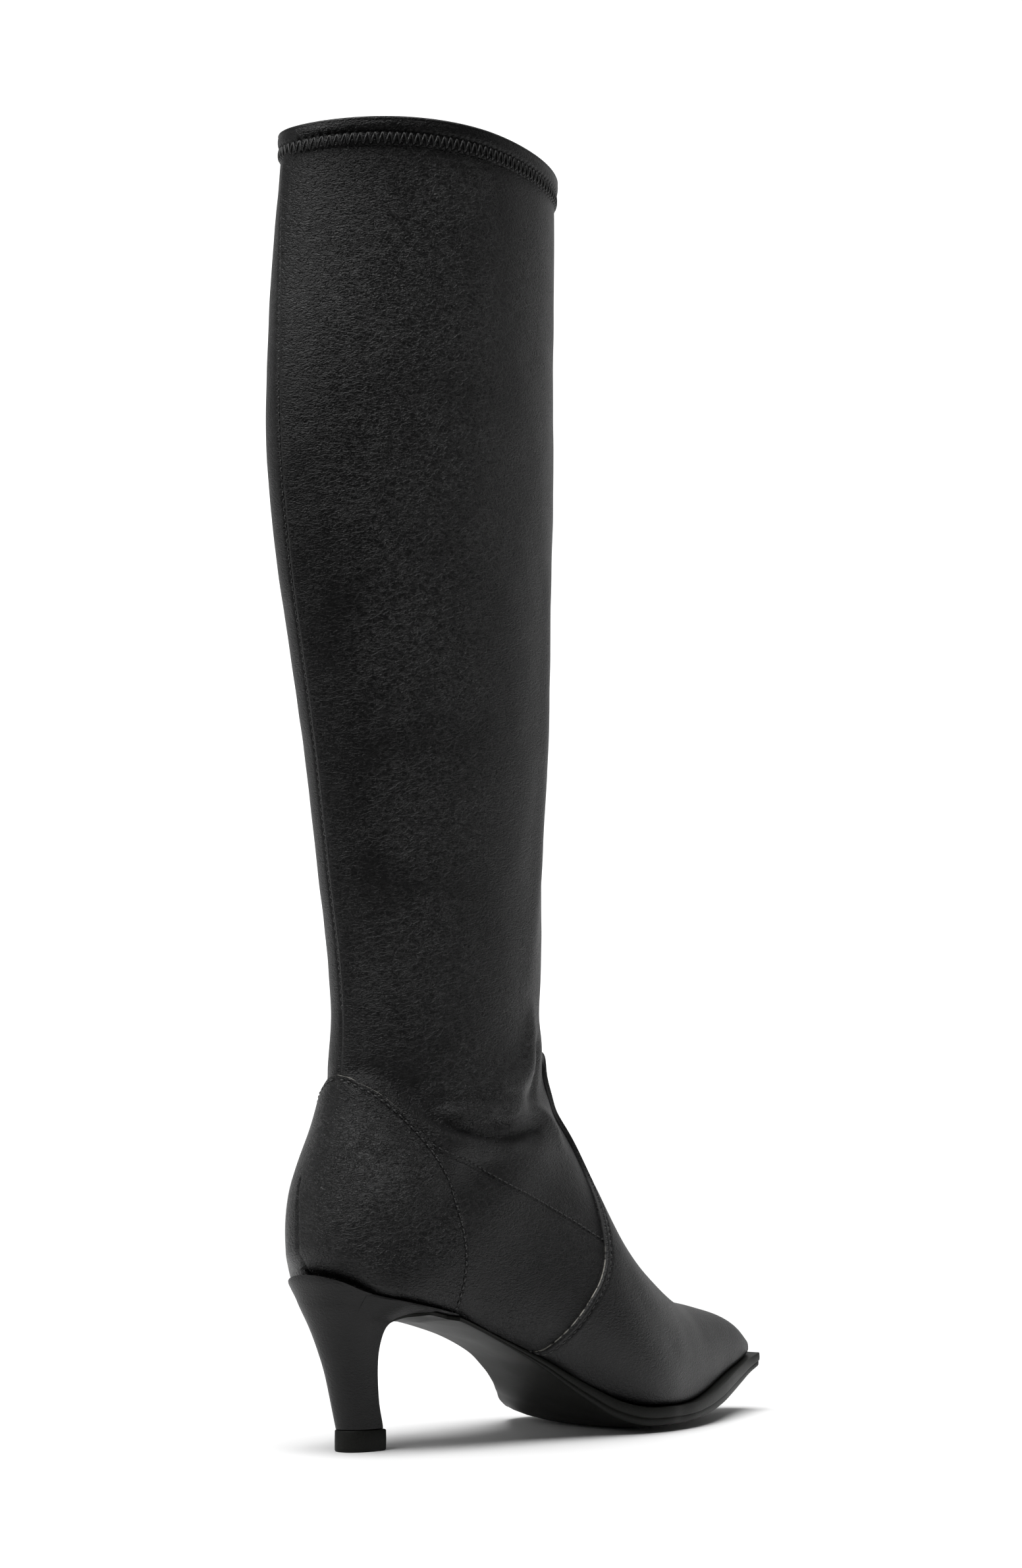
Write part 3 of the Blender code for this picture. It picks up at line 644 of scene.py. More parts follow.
class Nodes:
    """The nodes of a material, or of the studio's surroundings."""

    def __init__(self, tree):
        self.tree = tree

    def node(self, kind, settings, inputs, output=0):
        made = self.tree.nodes.new(kind)
        for name, value in settings.items():
            setattr(made, name, value)
        for name, value in inputs.items():
            self.feed(made.inputs[name], value)
        return Value(self, made.outputs[output])

    def feed(self, socket, value):
        """Link a value to a socket, or set the socket to a plain number, colour or vector."""
        if isinstance(value, Value):
            self.tree.links.new(value.socket, socket)
        else:
            socket.default_value = value

    def ramp(self, value, low, high, start=0.0, end=1.0):
        """Smooth step from start to end while the value goes from low to high."""
        return self.node("ShaderNodeMapRange", {"interpolation_type": "SMOOTHSTEP"}, {
            "Value": value, "From Min": low, "From Max": high, "To Min": start, "To Max": end})

    def axis(self, place, name):
        """One coordinate of a place."""
        return self.node("ShaderNodeSeparateXYZ", {}, {0: place}, name)


class Look(Nodes):
    """One material and its shader."""

    def __init__(self, name, color, roughness, **fixed):
        self.material = bpy.data.materials.new(name)
        self.material.use_nodes = True
        super().__init__(self.material.node_tree)
        self.shader = self.tree.nodes["Principled BSDF"]
        self.set("Base Color", (*color, 1.0))
        self.set("Roughness", roughness)
        for socket, value in fixed.items():
            self.set(socket.replace("_", " "), value)
        self.place = self.node("ShaderNodeTexCoord", {}, {}, "Object")

    def set(self, name, value):
        self.feed(self.shader.inputs[name], value)

    def noise(self, scale, detail=2.0, rough=0.5, place=None):
        return self.node("ShaderNodeTexNoise", {}, {
            "Vector": place or self.place, "Scale": scale, "Detail": detail, "Roughness": rough}, "Fac")

    def stretched(self, scale, turn=(0.0, 0.0, 0.0)):
        return self.node("ShaderNodeMapping", {}, {"Vector": self.place, "Scale": scale, "Rotation": turn})

    def mixed(self, mask, first, second):
        """Colour between two others."""
        colors = {0: mask, 6: (*first, 1.0), 7: (*second, 1.0)}
        return self.node("ShaderNodeMix", {"data_type": "RGBA"}, colors, 2)

    def bump(self, height, depth, strength=1.0):
        inputs = {"Height": height, "Distance": depth, "Strength": strength}
        return self.node("ShaderNodeBump", {}, inputs, "Normal")


# The first table: creased places of the leather; the second: places where highlights are painted into its
# colour. Columns: along, side and height in mm, reach in mm, strength
CREASED = (
    (16, 26, 430, 52, 1.0), (24, 28, 392, 58, 1.0), (30, 30, 330, 55, 1.0), (34, 30, 270, 40, 1.0),
    (40, 28, 215, 34, 1.0), (38, 26, 165, 34, 1.0), (20, 18, 98, 30, 1.0), (60, 28, 120, 26, 1.0),
    (95, 20, 150, 34, 1.0), (100, 24, 400, 40, 1.0), (150, 26, 50, 22, 1.0),
)
HIGHLIGHT_PLACES = (
    (17.5, 12.5, 105, 15, 1.3), (19, 19, 94, 14, 1.5), (1, 18, 384, 30, 0.9), (12, 24, 409, 24, 0.8),
    (21, 24, 288, 24, 0.5), (42, 33, 441, 24, 0.5), (52, 28, 114, 14, 0.7), (86, 25, 115, 12, 0.5),
)


def marked_places(look, table):
    """Mask of the places in a table, on both sides of the boot: full within a quarter of the reach."""
    apart = look.node("ShaderNodeVectorMath", {"operation": "ABSOLUTE"}, {0: look.place})
    spot = look.node("ShaderNodeCombineXYZ", {}, {
        "X": look.axis(apart, "X"), "Y": look.axis(look.place, "Y"), "Z": look.axis(look.place, "Z")})
    total = None
    for along, side, height, reach, strength in table:
        centre = tuple(float(n) for n in to_frame(np.array([along, -side, height]) * MM))
        far = look.node("ShaderNodeVectorMath", {"operation": "DISTANCE"}, {0: spot, 1: centre}, "Value")
        mask = (1 - look.ramp(far, 0.25 * reach * MM, reach * MM)) * strength
        if total is None:
            total = mask
        else:
            total = look.node("ShaderNodeMath", {"operation": "MAXIMUM"}, {0: total, 1: mask})
    return total


def fine_lines(look, scale, place, width):
    """Thin winding lines, as in creased leather."""
    cloud = look.noise(scale, 2.0, 0.55, place)
    return look.ramp(cloud, 0.5 - width, 0.5) * (1 - look.ramp(cloud, 0.5, 0.5 + width))


def leather(name, dark, light, roughness, grain=1.0, wrinkles_and_highlights=1.0):
    """Smooth black leather: fine pores and creased lines in patches, a colour a little lighter at random, and
    painted highlights: pale lines in the creased patches and pale flecks at the listed places.
    """
    look = Look(name, light, roughness, Specular_IOR_Level=0.26)
    clouds = look.ramp(look.noise(45.0, 2.0, 0.6), 0.30, 0.68) * 0.5 + 0.5
    patches = (marked_places(look, CREASED) * 0.8 + 0.2) * clouds
    slanted = look.stretched((1.0, 1.0, 1.9), (0.5, 0.2, 0.0))
    lines = fine_lines(look, 230.0, slanted, 0.05) + 0.6 * fine_lines(look, 480.0, slanted, 0.06)
    crumple = look.noise(900.0, 2.0, 0.6, slanted) * (patches * (0.5 * wrinkles_and_highlights) + 0.5 * grain)
    pores = look.noise(1900.0, 2.0, 0.65) * (0.30 * grain)
    height = lines * (patches * (-1.0 * wrinkles_and_highlights)) + crumple + pores
    look.set("Normal", look.bump(height, 0.00055))
    look.set("Roughness", look.noise(60.0, 3.0, 0.6) * 0.10 + (roughness - 0.05))
    # Painted highlight: thin pale lines in the colour, in the creased patches and in the flecks, for light
    # caught on the crinkles
    highlight_lines = fine_lines(look, 230.0, slanted, 0.03)
    highlight_flecks = look.ramp(look.noise(260.0, 3.0, 0.65, slanted), 0.42, 0.62) * 0.45 + highlight_lines * 1.1
    # Painted highlight flecks at the places of the second table
    painted_highlights = marked_places(look, HIGHLIGHT_PLACES) * highlight_flecks
    broad = look.ramp(look.noise(140.0, 4.0, 0.6), 0.3, 0.7) * 0.10
    # Lighter colour: a random tone, plus the painted highlights in the creases and at the listed places
    tone_and_painted_highlights = broad + highlight_lines * patches * (0.8 * wrinkles_and_highlights) + painted_highlights * wrinkles_and_highlights
    look.set("Base Color", look.mixed(tone_and_painted_highlights, dark, light))
    return look.material


def edge_paint_and_highlight(name, low, high):
    """Painted cut edge, dark, with a spotty painted highlight between two heights."""
    look = Look(name, (0.01, 0.01, 0.01), 0.35)
    up = look.axis(look.place, "Z")
    tone_and_painted_highlights = look.ramp(up, low, low + 0.012) * (1 - look.ramp(up, high - 0.012, high))
    tone_and_painted_highlights = tone_and_painted_highlights * look.ramp(look.noise(420.0, 2.0, 0.6), 0.42, 0.58)
    # The pale colour is a painted highlight along the edge, spotty, between the two heights
    look.set("Base Color", look.mixed(tone_and_painted_highlights, (0.006, 0.006, 0.006), (0.30, 0.29, 0.26)))
    look.set("Roughness", 0.52 - tone_and_painted_highlights * 0.12)
    return look.material


def rubber(name, dark, light, roughness, speckle=0.0):
    """Dull rubber with fine specks."""
    look = Look(name, light, roughness, Specular_IOR_Level=0.18)
    specks = look.noise(1500.0, 2.0, 0.6)
    broad = look.noise(90.0, 3.0, 0.55)
    look.set("Normal", look.bump(specks + broad * 0.4, 0.00016, 0.35 + speckle))
    look.set("Roughness", broad * 0.12 + (roughness - 0.06))
    look.set("Base Color", look.mixed(look.ramp(specks, 0.35, 0.7), dark, light))
    return look.material


def textile(name, dark, light):
    """Matt cloth with short fibres."""
    look = Look(name, light, 0.85, Sheen_Weight=0.2)
    fibres = look.noise(1400.0, 3.0, 0.7, look.stretched((1.0, 1.0, 0.35)))
    look.set("Normal", look.bump(fibres, 0.0002, 0.5))
    look.set("Base Color", look.mixed(look.ramp(fibres, 0.3, 0.7), dark, light))
    return look.material


def cotton(name, color, roughness):
    """Waxed sewing thread with its twist."""
    look = Look(name, color, roughness, Specular_IOR_Level=0.45)
    wave = {"Vector": look.place, "Scale": 900.0}
    twist = look.node("ShaderNodeTexWave", {"bands_direction": "DIAGONAL"}, wave, "Fac")
    look.set("Normal", look.bump(twist, 0.00005, 0.5))
    return look.material


DARK_HIDE = (0.0045, 0.0045, 0.0047)
# The lighter colour carries the leather's random tone and its painted highlights
PALE_HIDE_AND_HIGHLIGHT = (0.030, 0.030, 0.0306)
shaft_leather = leather("shaft_leather", DARK_HIDE, PALE_HIDE_AND_HIGHLIGHT, 0.42)
vamp_leather = leather("vamp_leather", DARK_HIDE, PALE_HIDE_AND_HIGHLIGHT, 0.42, wrinkles_and_highlights=0.6)
counter_leather = leather("counter_leather", DARK_HIDE, PALE_HIDE_AND_HIGHLIGHT, 0.36, wrinkles_and_highlights=1.4)
band_leather = leather("band_leather", (0.0042, 0.0042, 0.0044), (0.0070, 0.0070, 0.0072), 0.40, wrinkles_and_highlights=0.2)
cover_leather = leather("cover_leather", DARK_HIDE, (0.0090, 0.0092, 0.0090), 0.46, grain=0.7, wrinkles_and_highlights=0.0)
# Cut edges: dark edge paint with a painted highlight between two heights, in metres
vamp_edge_paint_and_highlight = edge_paint_and_highlight("vamp_edge_paint_and_highlight", 0.020, 0.070)
counter_edge_paint_and_highlight = edge_paint_and_highlight("counter_edge_paint_and_highlight", 0.108, 0.135)
lining = textile("lining", (0.020, 0.019, 0.018), (0.036, 0.034, 0.032))
insole_cover = textile("insole_cover", (0.030, 0.028, 0.026), (0.050, 0.047, 0.044))
sole_black = rubber("sole_black", (0.0034, 0.0038, 0.0029), (0.0066, 0.0070, 0.0055), 0.50)
lift_black = rubber("lift_black", (0.0040, 0.0043, 0.0034), (0.0070, 0.0074, 0.0060), 0.56, 0.1)
black_thread = cotton("black_thread", (0.026, 0.026, 0.026), 0.40)

# Sections at which the upper's skin has a row of points, closest together round the ankle
SECTION_STEPS = np.concatenate([
    np.linspace(5.5, 12.0, 90),
    np.linspace(12.0, 17.0, 130)[1:],
    np.linspace(17.0, TOP_SECTION, 190)[1:],
])
NEAR_SEAM = 0.15                    # turns this close to the back have finer columns
SEAM_TO_STITCHES = 0.0012 / 0.033   # turn from the back seam to its stitches: 1.2 mm on a radius of 33 mm


def upper_turns():
    """Turns round a section, closer together beside the back seam."""
    side = np.linspace(-pi + NEAR_SEAM, pi - NEAR_SEAM, 172)
    back = np.linspace(pi - NEAR_SEAM, pi + NEAR_SEAM, 62)[1:-1]
    return np.concatenate([side, back])


def make_upper():
    """Outer skin of the upper and its lining."""
    v, plain = np.meshgrid(SECTION_STEPS, upper_turns(), indexing="ij")
    from_back = (plain % (2 * pi)) - pi
    seam_shift = (seam_turn(v) - pi) * np.exp(-(from_back / 0.9) ** 2) * ease(v, 14.0, 17.5)
    points = surface(v, plain + seam_shift, 0.0, seam=True)
    upper = grid_piece("upper_skin", points, shaft_leather, True)
    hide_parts("upper")
    turns = np.linspace(0, 2 * pi, 90, endpoint=False)
    v, turn = np.meshgrid(np.linspace(0.5, TOP_SECTION, 150), turns, indexing="ij")
    inside = surface(v, turn, -WALL, tuck=0.0)
    inside[..., 2] = np.maximum(inside[..., 2], sole_top(inside[..., 0], inside[..., 1]) + 2 * GAP)
    grid_piece("upper_lining", inside, lining, True, True)


def seam_stitches():
    """Stitches in the channel of the back seam, from the counter to the collar's band."""
    v = np.linspace(16.9, COLLAR - 0.55, 300)
    row, out = stitch_line(v, seam_turn(v) + SEAM_TO_STITCHES, seam=True)
    stitch_row("seam_stitches", row, out, "seam")


# Distances in mm from the edge of a laid-over piece at which its shape is given
EDGE_STEPS = (
    0.0, 0.03, 0.10, 0.22, 0.38, 0.56, 0.78, 1.02, 1.25, 1.5,
    1.75, 2.0, 2.25, 2.5, 2.8, 3.2, 3.8, 4.8, 6.2,
)
# Laid-over pieces in mm: level of the edge over the form, thickness, width of the rolled edge, and the
# distance and depth of the stitch channel
LAID = {
    "vamp": (0.30, 1.45, 1.0, 2.3, 0.50),
    "counter": (0.30, 0.95, 0.40, 1.6, 0.36),
    "quarter": (-0.15, 0.55, 0.4, 1.4, 0.10),
}
CHANNEL_HALF = 0.48      # half width of a stitch channel, in mm
SLIT_HALF = 0.45         # half width of the counter's slit, in mm
SLIT_DEPTH = 0.0007
SKIRT = 0.0004           # how far the edge of a laid-over piece reaches down into the upper
SIDES = ((1, "outer"), (-1, "inner"))


def ribs(inner, edge, inner_columns):
    """Section and turn of each place between an inner line and an edge line, counted from the edge, and
    the distance of each from the edge in mm."""
    share = np.linspace(0, 1, 41)
    v = edge[:, None, 0] + (inner[:, None, 0] - edge[:, None, 0]) * share
    turn = edge[:, None, 1] + (inner[:, None, 1] - edge[:, None, 1]) * share
    walk = form(v, turn)
    reached = np.cumsum(np.linalg.norm(np.diff(walk, axis=1), axis=2), axis=1)
    length = np.concatenate([np.zeros((len(edge), 1)), reached], 1)
    along_edge = unit(np.gradient(form(edge[:, 0], edge[:, 1]), axis=0))
    into = unit(walk[:, 1] - walk[:, 0])
    slant = np.sqrt(np.clip(1 - (along_edge * into).sum(1) ** 2, 0.05, 1))
    inside = np.linspace(0, 1, inner_columns + 1)[1:] ** 1.15
    places, depths = [], []
    for k in range(len(edge)):
        steps = np.array(EDGE_STEPS) * MM / slant[k]
        steps = steps * min(1.0, 0.6 * length[k, -1] / steps[-1])
        steps = np.concatenate([steps, steps[-1] + (length[k, -1] - steps[-1]) * inside])
        part = np.interp(steps, length[k], share)[:, None]
        places.append(edge[k] + (inner[k] - edge[k]) * part)
        depths.append(steps * slant[k] / MM)
    return np.array(places), np.array(depths)


def laid_over(name, inner, edge, inner_columns, sizes, material, turned, slit=None, pale=None):
    """Piece laid over the upper with a rolled edge and a stitch channel. slit: a line pressed into it.
    pale: the paint of its cut edge with a painted highlight along part of it, and the column of faces where
    the paint ends. Returns the piece, the stitch line and the way out of the leather along it."""
    base, thick, roll, channel, channel_depth = sizes
    places, depth = ribs(inner, edge, inner_columns)
    reach = np.clip(depth / roll, 0, 1)
    lift = (base + thick * np.sqrt(np.clip(1 - (1 - reach) ** 2, 0, 1))) * MM
    lift = lift - channel_depth * MM * np.exp(-((depth - channel) / CHANNEL_HALF) ** 2)
    if slit is not None:
        flat = form(places[..., 0], places[..., 1]).reshape(-1, 3)
        far, _ = line_distance(flat, slit)
        lift = lift - SLIT_DEPTH * np.exp(-((far / MM) / SLIT_HALF) ** 2).reshape(depth.shape)
    points = surface(places[..., 0], places[..., 1], lift)
    skirt = surface(places[:, :1, 0], places[:, :1, 1], -SKIRT)
    points = np.concatenate([skirt, points], 1)
    rows, columns = points.shape[:2]
    strip = None
    if pale:
        paint, end = pale
        strip = (paint, [int(0 < c < end) for _ in range(rows - 1) for c in range(columns - 1)])
    faces = grid_faces(rows, columns, turned=turned)
    piece = finish_mesh(name, points.reshape(-1, 3), faces, material, strip=strip)
    line = np.array([at_walk(places[k], depth[k], channel) for k in range(len(edge))])
    row, out = stitch_line(line[:, 0], line[:, 1], (base + thick - channel_depth) * MM)
    return piece, row, out


def near_unwrapped(places, side):
    """Turns of a line on one side, made continuous: 0 at the front, pi at the back."""
    turned = (places[:, 1] * side) % (2 * pi)
    return np.stack([places[:, 0], np.where(turned > 1.7 * pi, turned - 2 * pi, turned) * side], 1)


def edge_places(line, side, count):
    """A line of the outer side, on either side of the boot: its points, and its places on the form."""
    points = smooth_line(np.array(line) * MM * np.array([1, side, 1]), count)
    return points, near_unwrapped(on_form(points), side)


# Rows of the vamp: first and last of the places on its edge, section and turn of the inner ends, count.
# Where no turn is given, the inner ends lie at the turns of the edge.
VAMP_PLACES = 170
VAMP_ROWS = (
    (169, 80, (FIRST_SECTION, None), (FIRST_SECTION, None), 110),
    (80, 76, (FIRST_SECTION, 0.83), (FIRST_SECTION, 0.0), 20),
    (76, 62, (FIRST_SECTION, 0.0), (8.6, 0.0), 80),
    (62, 0, (8.6, 0.0), (12.54, 0.0), 110),
)
TIP_BULGE = 0.0030       # how far the cap at the tip of the toe stands forward
COUNTER_PLACES = 150
COUNTER_BASE = 11.6      # section under the seat where the counter's middle line ends
QUARTER_PLACES = 130


def make_vamp():
    """Two halves that meet along the top of the foot, their stitches, and the cap at the tip of the toe."""
    for side, label in SIDES:
        _, edge = edge_places(VAMP_LINE, side, VAMP_PLACES)
        edge[0, 1] = 0.0
        rim, spine = [], []
        for first, last, start, end, rows in VAMP_ROWS:
            at = np.linspace(first, last, rows, endpoint=False)
            rim.append(at_walk(edge, np.arange(len(edge)), at))
            if start[1] is None:
                spine.append(np.stack([np.full(rows, start[0]), rim[-1][:, 1]], 1))
            else:
                start, end = [np.array([v, side * turn]) for v, turn in (start, end)]
                spine.append(start + (end - start) * np.linspace(0, 1, rows, endpoint=False)[:, None])
        rim, spine = np.concatenate(rim), np.concatenate(spine)
        name = "vamp_" + label
        piece, row, out = laid_over(name, spine, rim, 44, LAID["vamp"], vamp_leather,
                                    side > 0, pale=(vamp_edge_paint_and_highlight, 3))
        stitch_row(name + "_stitches", row[3:], out[3:], "vamp")
    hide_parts("vamp")
    turns = np.linspace(0, 2 * pi, 60, endpoint=False)
    thick = LAID["vamp"][1]
    ring = surface(np.full(60, FIRST_SECTION), turns, thick * MM)
    centre = ring.mean(0)
    rings = []
    for angle in np.linspace(0, pi / 2 - 0.03, 8):
        rings.append(centre + (ring - centre) * np.cos(angle) + np.array([TIP_BULGE * np.sin(angle), 0, 0]))
    grid_piece("vamp_tip", np.array(rings), vamp_leather, True)


def make_counter():
    """Rounded piece round the back of the heel, in two halves, with its stitches."""
    for side, label in SIDES:
        _, edge = edge_places(COUNTER_LINE, side, COUNTER_PLACES)
        edge[0, 1] = side * pi
        sections = np.linspace(edge[0, 0] - 1.0, COUNTER_BASE, COUNTER_PLACES)
        spine = np.stack([sections, np.full(COUNTER_PLACES, side * pi)], 1)
        name = "counter_" + label
        piece, row, out = laid_over(name, spine, edge, 60, LAID["counter"], counter_leather,
                                    side > 0, SLIT_LINE, (counter_edge_paint_and_highlight, 4))
        stitch_row(name + "_stitches", row[2:], out[2:], "counter")
    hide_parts("heel_counter")


def make_quarters():
    """Seam from the counter to the vamp: lower leather laid over the upper one, with stitches above it."""
    for side, label in SIDES:
        line, edge = edge_places(QUARTER_LINE, side, QUARTER_PLACES)
        low_line = np.stack([line[:, 0], line[:, 1] * 0.8, sole_top(line[:, 0], line[:, 1]) - 0.003], 1)
        low = near_unwrapped(on_form(low_line), side)
        name = "quarter_" + label
        laid_over(name, low, edge, 34, LAID["quarter"], shaft_leather, side < 0)
        above = near_unwrapped(on_form(line + np.array([0.0004, 0, 0.0013])), side)
        row, out = stitch_line(above[:, 0], above[:, 1])
        stitch_row(name + "_stitches", row, out, "quarter")


# Outer face of the collar's band from its lower edge up: mm below the top, mm out from the form
BAND_FACE = (
    (9.0, -0.15), (8.9, 0.30), (8.5, 0.52), (8.0, 0.66), (7.4, 0.72), (6.8, 0.78), (6.2, 0.82), (5.6, 0.80),
    (5.0, 0.74), (4.5, 0.70), (4.1, 0.86), (3.6, 1.12), (3.0, 1.34), (2.3, 1.48), (1.5, 1.54), (0.8, 1.52),
    (0.2, 1.42),
)
BAND_OUT, BAND_IN = 1.55, -WALL / MM - 1.3   # the band's crown reaches out and in this far, in mm
BAND_CROWN = 1.35                            # and this far up
BAND_INSIDE = (0.8, 2.5, 5.0, 7.4)           # mm below the top of the points on its inner face
ZIGZAG_HIGH, ZIGZAG_LOW = 4.3, 8.5           # mm below the top of the needle holes
ZIGZAG_WIDE = 2.6                            # mm from one hole to the next in a row


def make_collar():
    """Folded band with its zigzag row: the roll at the top, then a flatter strip drawn in by the stitches."""
    count = 900
    turns = np.linspace(0, 2 * pi, count, endpoint=False)
    per_mm = MM / (ROWS[-1][1] - ROWS[-2][1])

    def ring(down, out):
        return surface(np.full(count, TOP_SECTION - down * per_mm), turns, out)

    edge = ring(0.0, 0.0)
    walk = walked(np.vstack([edge, edge[:1]]))
    needles = int(round(walk[-1] / (ZIGZAG_WIDE * MM)))
    phase = walk[:-1] / walk[-1] * needles
    rows = []
    for down, out in BAND_FACE:
        lift = np.full(count, out)
        for level, offset in ((ZIGZAG_HIGH, 0.0), (ZIGZAG_LOW, 0.5)):
            beside = np.abs((phase + offset + 0.5) % 1 - 0.5) * ZIGZAG_WIDE
            lift = lift - 0.60 * np.exp(-((down - level) / 0.55) ** 2 - (beside / 0.55) ** 2)
        lift = lift + 0.10 * np.exp(-((down - 6.4) / 1.3) ** 2) * np.cos(2 * pi * phase * 2)
        rows.append(ring(down, lift * MM))
    middle, half = (BAND_OUT + BAND_IN) / 2, (BAND_OUT - BAND_IN) / 2
    for angle in np.linspace(0.15, pi - 0.15, 9):
        flat = np.sign(np.cos(angle)) * np.abs(np.cos(angle)) ** 0.8
        crown = np.array([0, 0, BAND_CROWN * MM * np.sin(angle) ** 0.8])
        rows.append(ring(0.0, (middle + half * flat) * MM) + crown)
    for down in BAND_INSIDE:
        rows.append(ring(down, (BAND_IN + 0.1 * (down > 5)) * MM))
    rows.append(ring(7.5, 0.1 * MM - WALL))
    band = grid_piece("collar_band", np.array(rows), band_leather, True, True)
    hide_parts("collar_binding")
    points, faces = [], []
    high, low = (ZIGZAG_HIGH, 0.75), (ZIGZAG_LOW, 0.50)
    for k in range(needles):
        holes = []
        for share, (down, level) in ((0.0, high), (0.5, low), (1.0, high)):
            turn = np.interp((k + share) / needles * walk[-1], walk, np.append(turns, 2 * pi))
            row, out = stitch_line(np.array([TOP_SECTION - down * per_mm]), np.array([turn]), level * MM)
            holes.append((row[0], out[0]))
        for (first, first_out), (last, last_out) in zip(holes, holes[1:]):
            thread(points, faces, first, last, first_out + last_out, *ZIGZAG_THREAD)
    finish_mesh("collar_zigzag", np.array(points), faces, black_thread)


def breast_line(raise_by=0.0):
    """Breast of the heel in side view, moved out from the heel by a distance."""
    line = np.array(BREAST) * np.array([SOLE_LENGTH, SEAT_HEIGHT])
    tangent = np.gradient(line, axis=0)
    tangent /= np.linalg.norm(tangent, axis=1, keepdims=True)
    normal = np.stack([tangent[:, 1], -tangent[:, 0]], 1)
    return line + normal * raise_by


def resampled(line, shares):
    """Points of a smooth line in side view, at shares of its length counted in given points."""
    steps = np.linspace(0, 1, len(line))
    return np.stack([smooth_curve(steps, line[:, n], shares) for n in (0, 1)], 1)


HEEL_POWER = 2.15        # roundness of the heel's back in plan; 2 is an ellipse
LIFT_POWER = 2.3
PAST_BREAST = 0.03       # the raw heel runs on this far, and its breast is cut away later
SHARP_EDGE = 0.7         # edges that bend by more than this angle stay crisp
FLARE_START = (0.012, 0.026)   # along: where the cover begins to flare out to the sole's edge
FLARE_LOW = 0.0435             # height from which it flares
FLARE_FALL = 0.033             # along: from here forward that height falls


def heel_value(name, height):
    scale = {"back": SOLE_LENGTH, "front": SOLE_LENGTH}.get(name, BALL_HALF)
    levels = column(HEEL, HEEL_COLUMNS, "height") * SEAT_HEIGHT
    return smooth_curve(levels, column(HEEL, HEEL_COLUMNS, name) * scale, height)


def round_share(height):
    """Share of the heel's length, from the back, along which its outline is round."""
    return np.interp(height, [LIFT_HEIGHT, SEAT_HEIGHT], [0.7, 0.82])


def round_back(back, curve, half, power):
    """Outline in plan, from one side round the back to the other."""
    swing = np.linspace(0, pi, 61)
    along = back + curve - curve * np.abs(np.sin(swing)) ** (2 / power)
    side = half * np.sign(np.cos(swing)) * np.abs(np.cos(swing)) ** (2 / power)
    return np.stack([along, side], 1)


def heel_outline(height, grow):
    """Horizontal outline of the heel, round at the back and straight along the sides."""
    back = heel_value("back", height) - grow
    front = heel_value("front", height)
    half = heel_value("half", height) + grow
    outline = round_back(back, (front - back) * round_share(height), half, HEEL_POWER)
    end = front + PAST_BREAST
    outline = np.vstack([[(end, half * 0.5), (end, half)], outline, [(end, -half), (end, -half * 0.5)]])
    return np.column_stack([outline, np.full(len(outline), height)])


# Outline of half a cross-section of the sole: share of the half width, share of the depth, inset in mm
SOLE_RIM = (
    (0.0, 0.0, 0.0), (0.35, 0.0, 0.0), (0.7, 0.0, 0.0), (0.92, 0.0, 0.0), (1.0, 0.0, 0.45),
    (1.0, 0.02, 0.12), (1.0, 0.07, 0.0), (1.0, 0.3, -0.1), (1.0, 0.5, -0.05), (1.0, 0.56, 0.05),
    (1.0, 0.59, 0.3), (1.0, 0.62, 0.62), (1.0, 0.66, 0.52), (1.0, 0.8, 0.48), (1.0, 0.93, 0.6),
    (1.0, 0.985, 0.9), (1.0, 1.0, 1.5), (0.9, 1.0, 0.6), (0.72, 1.0, 0.0), (0.45, 1.0, 0.0),
    (0.2, 1.0, 0.0),
)


def sole_ring(top, bottom, outer, inner, bank, fine, inner_roll=0.0, outer_roll=0.0):
    """Cross-section of the sole between two points in side view. fine: share of the insets that is used.
    The rolls lift the lower edge at each side."""
    left = [(-share, depth, inset) for share, depth, inset in SOLE_RIM[:0:-1]]
    ring = []
    for share, depth, inset in [*SOLE_RIM, (0.0, 1.0, 0.0), *left]:
        half = outer if share > 0 else inner
        side = share * (half - inset * MM * fine)
        along = top[0] + (bottom[0] - top[0]) * depth
        height = top[1] + (bottom[1] - top[1]) * depth - bank * side
        height += (inner_roll if side < 0 else outer_roll) * depth * abs(share) ** 2.5
        ring.append((along, side, height))
    return ring


def cover_half(along, height, name):
    """Half width of the heel's cover on one side, flared out to the sole's edge under the waist."""
    top = float(sole_value("top", along))
    own = []
    for level in (min(height, top), top):
        back, half = heel_value("back", level), heel_value("half", level)
        curve = (heel_value("front", level) - back) * round_share(level)
        share = np.clip(1 - (along - back) / curve, 0, 0.999)
        own.append(half * (1 - share**HEEL_POWER) ** (1 / HEEL_POWER))
    low = FLARE_LOW - 2.0 * max(along - FLARE_FALL, 0)
    share = float(np.clip((height - low) / (top - low), 0, 1)) ** 1.5
    return float(own[0] + (sole_value(name, along) + GAP - own[1]) * share * ease(along, *FLARE_START))


def wing_lip(along, side):
    """How far the heel's cover and the sheet under it rise towards the edge at the end of the wing."""
    return WING_LIP * ease(along, 0.028, 0.043) * ease(abs(side), 0.009, 0.021)


# The first rings of the sole at the toe, in mm: how far each is drawn in at its sides, and at top and bottom
TIP_ROUNDING = ((0.5, 0.35), (0.15, 0.08), (0.0, 0.0))
SHEET_INSET = 0.0015     # the sheet on the breast is this much narrower than the heel's cover


